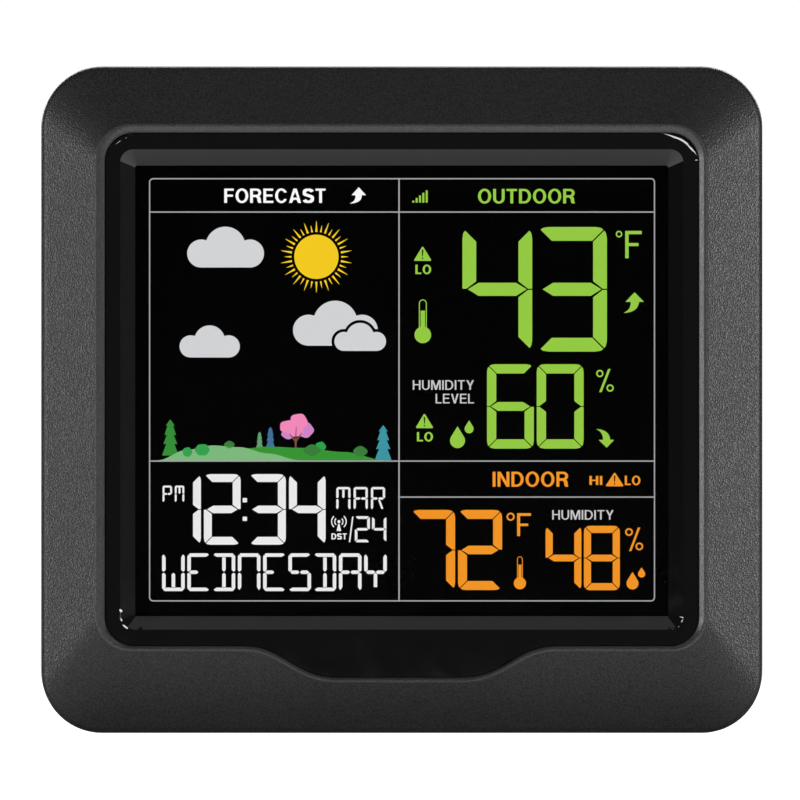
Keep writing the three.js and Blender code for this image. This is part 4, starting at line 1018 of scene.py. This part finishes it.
symbols = {
    "light": ring_mm(0, 0, 0.75, 0) + [bar_mm(1.05 * math.cos(a), 1.05 * math.sin(a), 1.7 * math.cos(a), 1.7 * math.sin(a), 0.28) for a in (math.tau * i / 8 for i in range(8))],
    "plus": [[(-1.5, -0.2), (-0.2, -0.2), (-0.2, -1.5), (0.2, -1.5), (0.2, -0.2), (1.5, -0.2), (1.5, 0.2), (0.2, 0.2), (0.2, 1.5), (-0.2, 1.5), (-0.2, 0.2), (-1.5, 0.2)]],
    "minus": [[(-1.5, -0.2), (1.5, -0.2), (1.5, 0.2), (-1.5, 0.2)]],
    "time": ring_mm(0, 0, 1.6, 1.3) + [[(-0.14, 1.0), (0.14, 1.0), (0.14, 0.05), (-0.85, -0.45), (-0.72, -0.7), (-0.14, -0.38)]],
    "alert": [[(-1.3, -0.85), (-0.95, -0.45), (-0.9, 0.3), (-0.55, 0.95), (-0.14, 1.15), (-0.14, 1.45), (0.14, 1.45), (0.14, 1.15), (0.55, 0.95), (0.9, 0.3), (0.95, -0.45), (1.3, -0.85)]] + ring_mm(0, -1.2, 0.27, 0, 12),
    "search": ring_mm(0.25, 0.3, 1.15, 0.85) + [bar_mm(-0.62, -0.57, -1.45, -1.4, 0.36)],
}
for k, polys in symbols.items():
    lo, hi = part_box("key_" + k)
    kx, kz, top = (lo.x + hi.x) / 2, (lo.z + hi.z) / 2, hi.y
    c = bpy.data.curves.new("symbol", "CURVE")
    c.dimensions = "2D"
    c.fill_mode = "BOTH"
    c.extrude = 0.05 * MM
    for poly in polys:
        sp = c.splines.new("POLY")
        sp.points.add(len(poly) - 1)
        for i, (x, z) in enumerate(poly):
            sp.points[i].co = (x * MM, z * MM, 0, 1)
        sp.use_cyclic_u = True
    o = bpy.data.objects.new("symbol_tmp", c)
    scene.collection.objects.link(o)
    bpy.context.view_layer.update()
    me = bpy.data.meshes.new_from_object(o.evaluated_get(bpy.context.evaluated_depsgraph_get()))
    bpy.data.objects.remove(o)
    bm = bmesh.new()
    bm.from_mesh(me)
    bmesh.ops.remove_doubles(bm, verts=bm.verts, dist=1e-7)
    for v in bm.verts:
        v.co = Vector((kx + v.co.x, top + 0.02 * MM + v.co.z, kz + v.co.y))
    bmesh.ops.recalc_face_normals(bm, faces=bm.faces)
    bm.to_mesh(me)
    bm.free()
    o = bpy.data.objects.new("symbol_" + k, me)
    scene.collection.objects.link(o)
    me.materials.clear()
    me.materials.append(key_print)
    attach(o, "key_" + k)

# ------------------------------------------------------------------ stage, camera, light
def plane(name, x, y0, y1, z):
    me = bpy.data.meshes.new(name)
    me.from_pydata([(-x, y0, z), (x, y0, z), (x, y1, z), (-x, y1, z)], [], [(0, 1, 2, 3)])
    o = bpy.data.objects.new(name, me)
    scene.collection.objects.link(o)
    o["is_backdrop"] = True
    return o


floor = plane("floor", 1.6, -0.6, 2.4, cad_lo.z - 0.0002)
m, nt, ln, b = new_material("floor_white_painted_shade")
b.inputs["Base Color"].default_value = (0.35, 0.35, 0.35, 1)
b.inputs["Roughness"].default_value = 0.9
b.inputs["Specular IOR Level"].default_value = 0.0
b.inputs["Emission Color"].default_value = (1, 1, 1, 1)
at = nt.new("ShaderNodeTexCoord")
sep = nt.new("ShaderNodeSeparateXYZ")
ln.new(at.outputs["Object"], sep.inputs["Vector"])
# Painted shade on the floor: for reflections and lighting its glow falls from full 6 cm in front of the object to a
# tenth at 2 cm, and stays there under and behind it, a painted shadow round the object; camera rays still see the floor
# white
near = nt.new("ShaderNodeMapRange")
near.interpolation_type = "SMOOTHSTEP"
near.inputs["From Min"].default_value = -0.02
near.inputs["From Max"].default_value = -0.06
near.inputs["To Min"].default_value = 0.1
near.inputs["To Max"].default_value = 1.02
ln.new(sep.outputs["Y"], near.inputs["Value"])
seen = nt.new("ShaderNodeLightPath")
pick = nt.new("ShaderNodeMath")
pick.operation = "MAXIMUM"
ln.new(near.outputs["Result"], pick.inputs[0])
ln.new(seen.outputs["Is Camera Ray"], pick.inputs[1])
ln.new(pick.outputs["Value"], b.inputs["Emission Strength"])
floor.data.materials.append(m)

world = bpy.data.worlds.new("studio")
scene.world = world
world.use_nodes = True
wn, wl = world.node_tree.nodes, world.node_tree.links
bg = wn["Background"]
bg.inputs["Color"].default_value = (0.006, 0.006, 0.006, 1)
bg2 = wn.new("ShaderNodeBackground")
bg2.inputs["Color"].default_value = (1.05, 1.05, 1.05, 1)
path = wn.new("ShaderNodeLightPath")
mix = wn.new("ShaderNodeMixShader")
wl.new(path.outputs["Is Camera Ray"], mix.inputs["Fac"])
wl.new(bg.outputs["Background"], mix.inputs[1])
wl.new(bg2.outputs["Background"], mix.inputs[2])
wl.new(mix.outputs["Shader"], wn["World Output"].inputs["Surface"])

centre = (cad_lo + cad_hi) / 2


def area(name, direction, distance, size, radiance, roll=0.0):
    """A soft light that way from the object's middle. radiance is what a mirror would show."""
    d = Vector(direction).normalized()
    light = bpy.data.lights.new(name, "AREA")
    light.shape = "RECTANGLE"
    light.size, light.size_y = size
    light.energy = radiance * math.pi * size[0] * size[1]
    o = bpy.data.objects.new(name, light)
    scene.collection.objects.link(o)
    o.location = centre + d * distance
    o.rotation_mode = "QUATERNION"
    o.rotation_quaternion = (-d).to_track_quat("-Z", "Y") @ Quaternion((0, 0, 1), math.radians(roll))
    o.visible_camera = False
    return o


def toward(az, el):
    """Unit vector: azimuth 0 is in front, positive to the right, elevation upwards, in degrees."""
    a, e = math.radians(az), math.radians(el)
    return (math.sin(a) * math.cos(e), -math.cos(a) * math.cos(e), math.sin(e))


area("softbox_left", toward(-54, 2), 0.9, (0.28, 0.3), 15.5)
area("softbox_right", toward(53, 2), 0.9, (0.28, 0.3), 20.0)
area("top_front", toward(0, 80), 0.9, (0.9, 0.36), 0.42)
area("side_right", toward(76, 0), 1.2, (0.3, 0.6), 0.1)
# two small reflector strips that only the polished trim catches, at its corners
catch = bpy.data.collections.new("polished_parts")
catch.objects.link(ring_piece)
for strip in (area("strip_right", (0.34, -0.766, 0.545), 0.9, (0.36, 0.34), 17.0, -32), area("strip_left", (-0.40, -0.766, 0.50), 0.9, (0.07, 0.07), 12.0, 30)):
    strip.light_linking.receiver_collection = catch
area("rear_left", toward(-145, 25), 1.0, (0.6, 0.6), 7.0)
area("rear_right", toward(148, 30), 1.0, (0.6, 0.6), 6.0)
area("rear_top", toward(180, 42), 1.0, (0.8, 0.5), 3.0)

cam = bpy.data.cameras.new("camera")
cam.lens = LENS_MM
cam.sensor_width = SENSOR_MM
cam_o = bpy.data.objects.new("camera", cam)
scene.collection.objects.link(cam_o)
scene.camera = cam_o
cam_o.location = (EYE_X, -0.00114 - REACH, EYE_Z)
cam_o.rotation_euler = (math.pi / 2, 0, 0)
cam.clip_start, cam.clip_end = 0.05, 40.0

bpy.context.view_layer.update()
lo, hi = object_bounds()
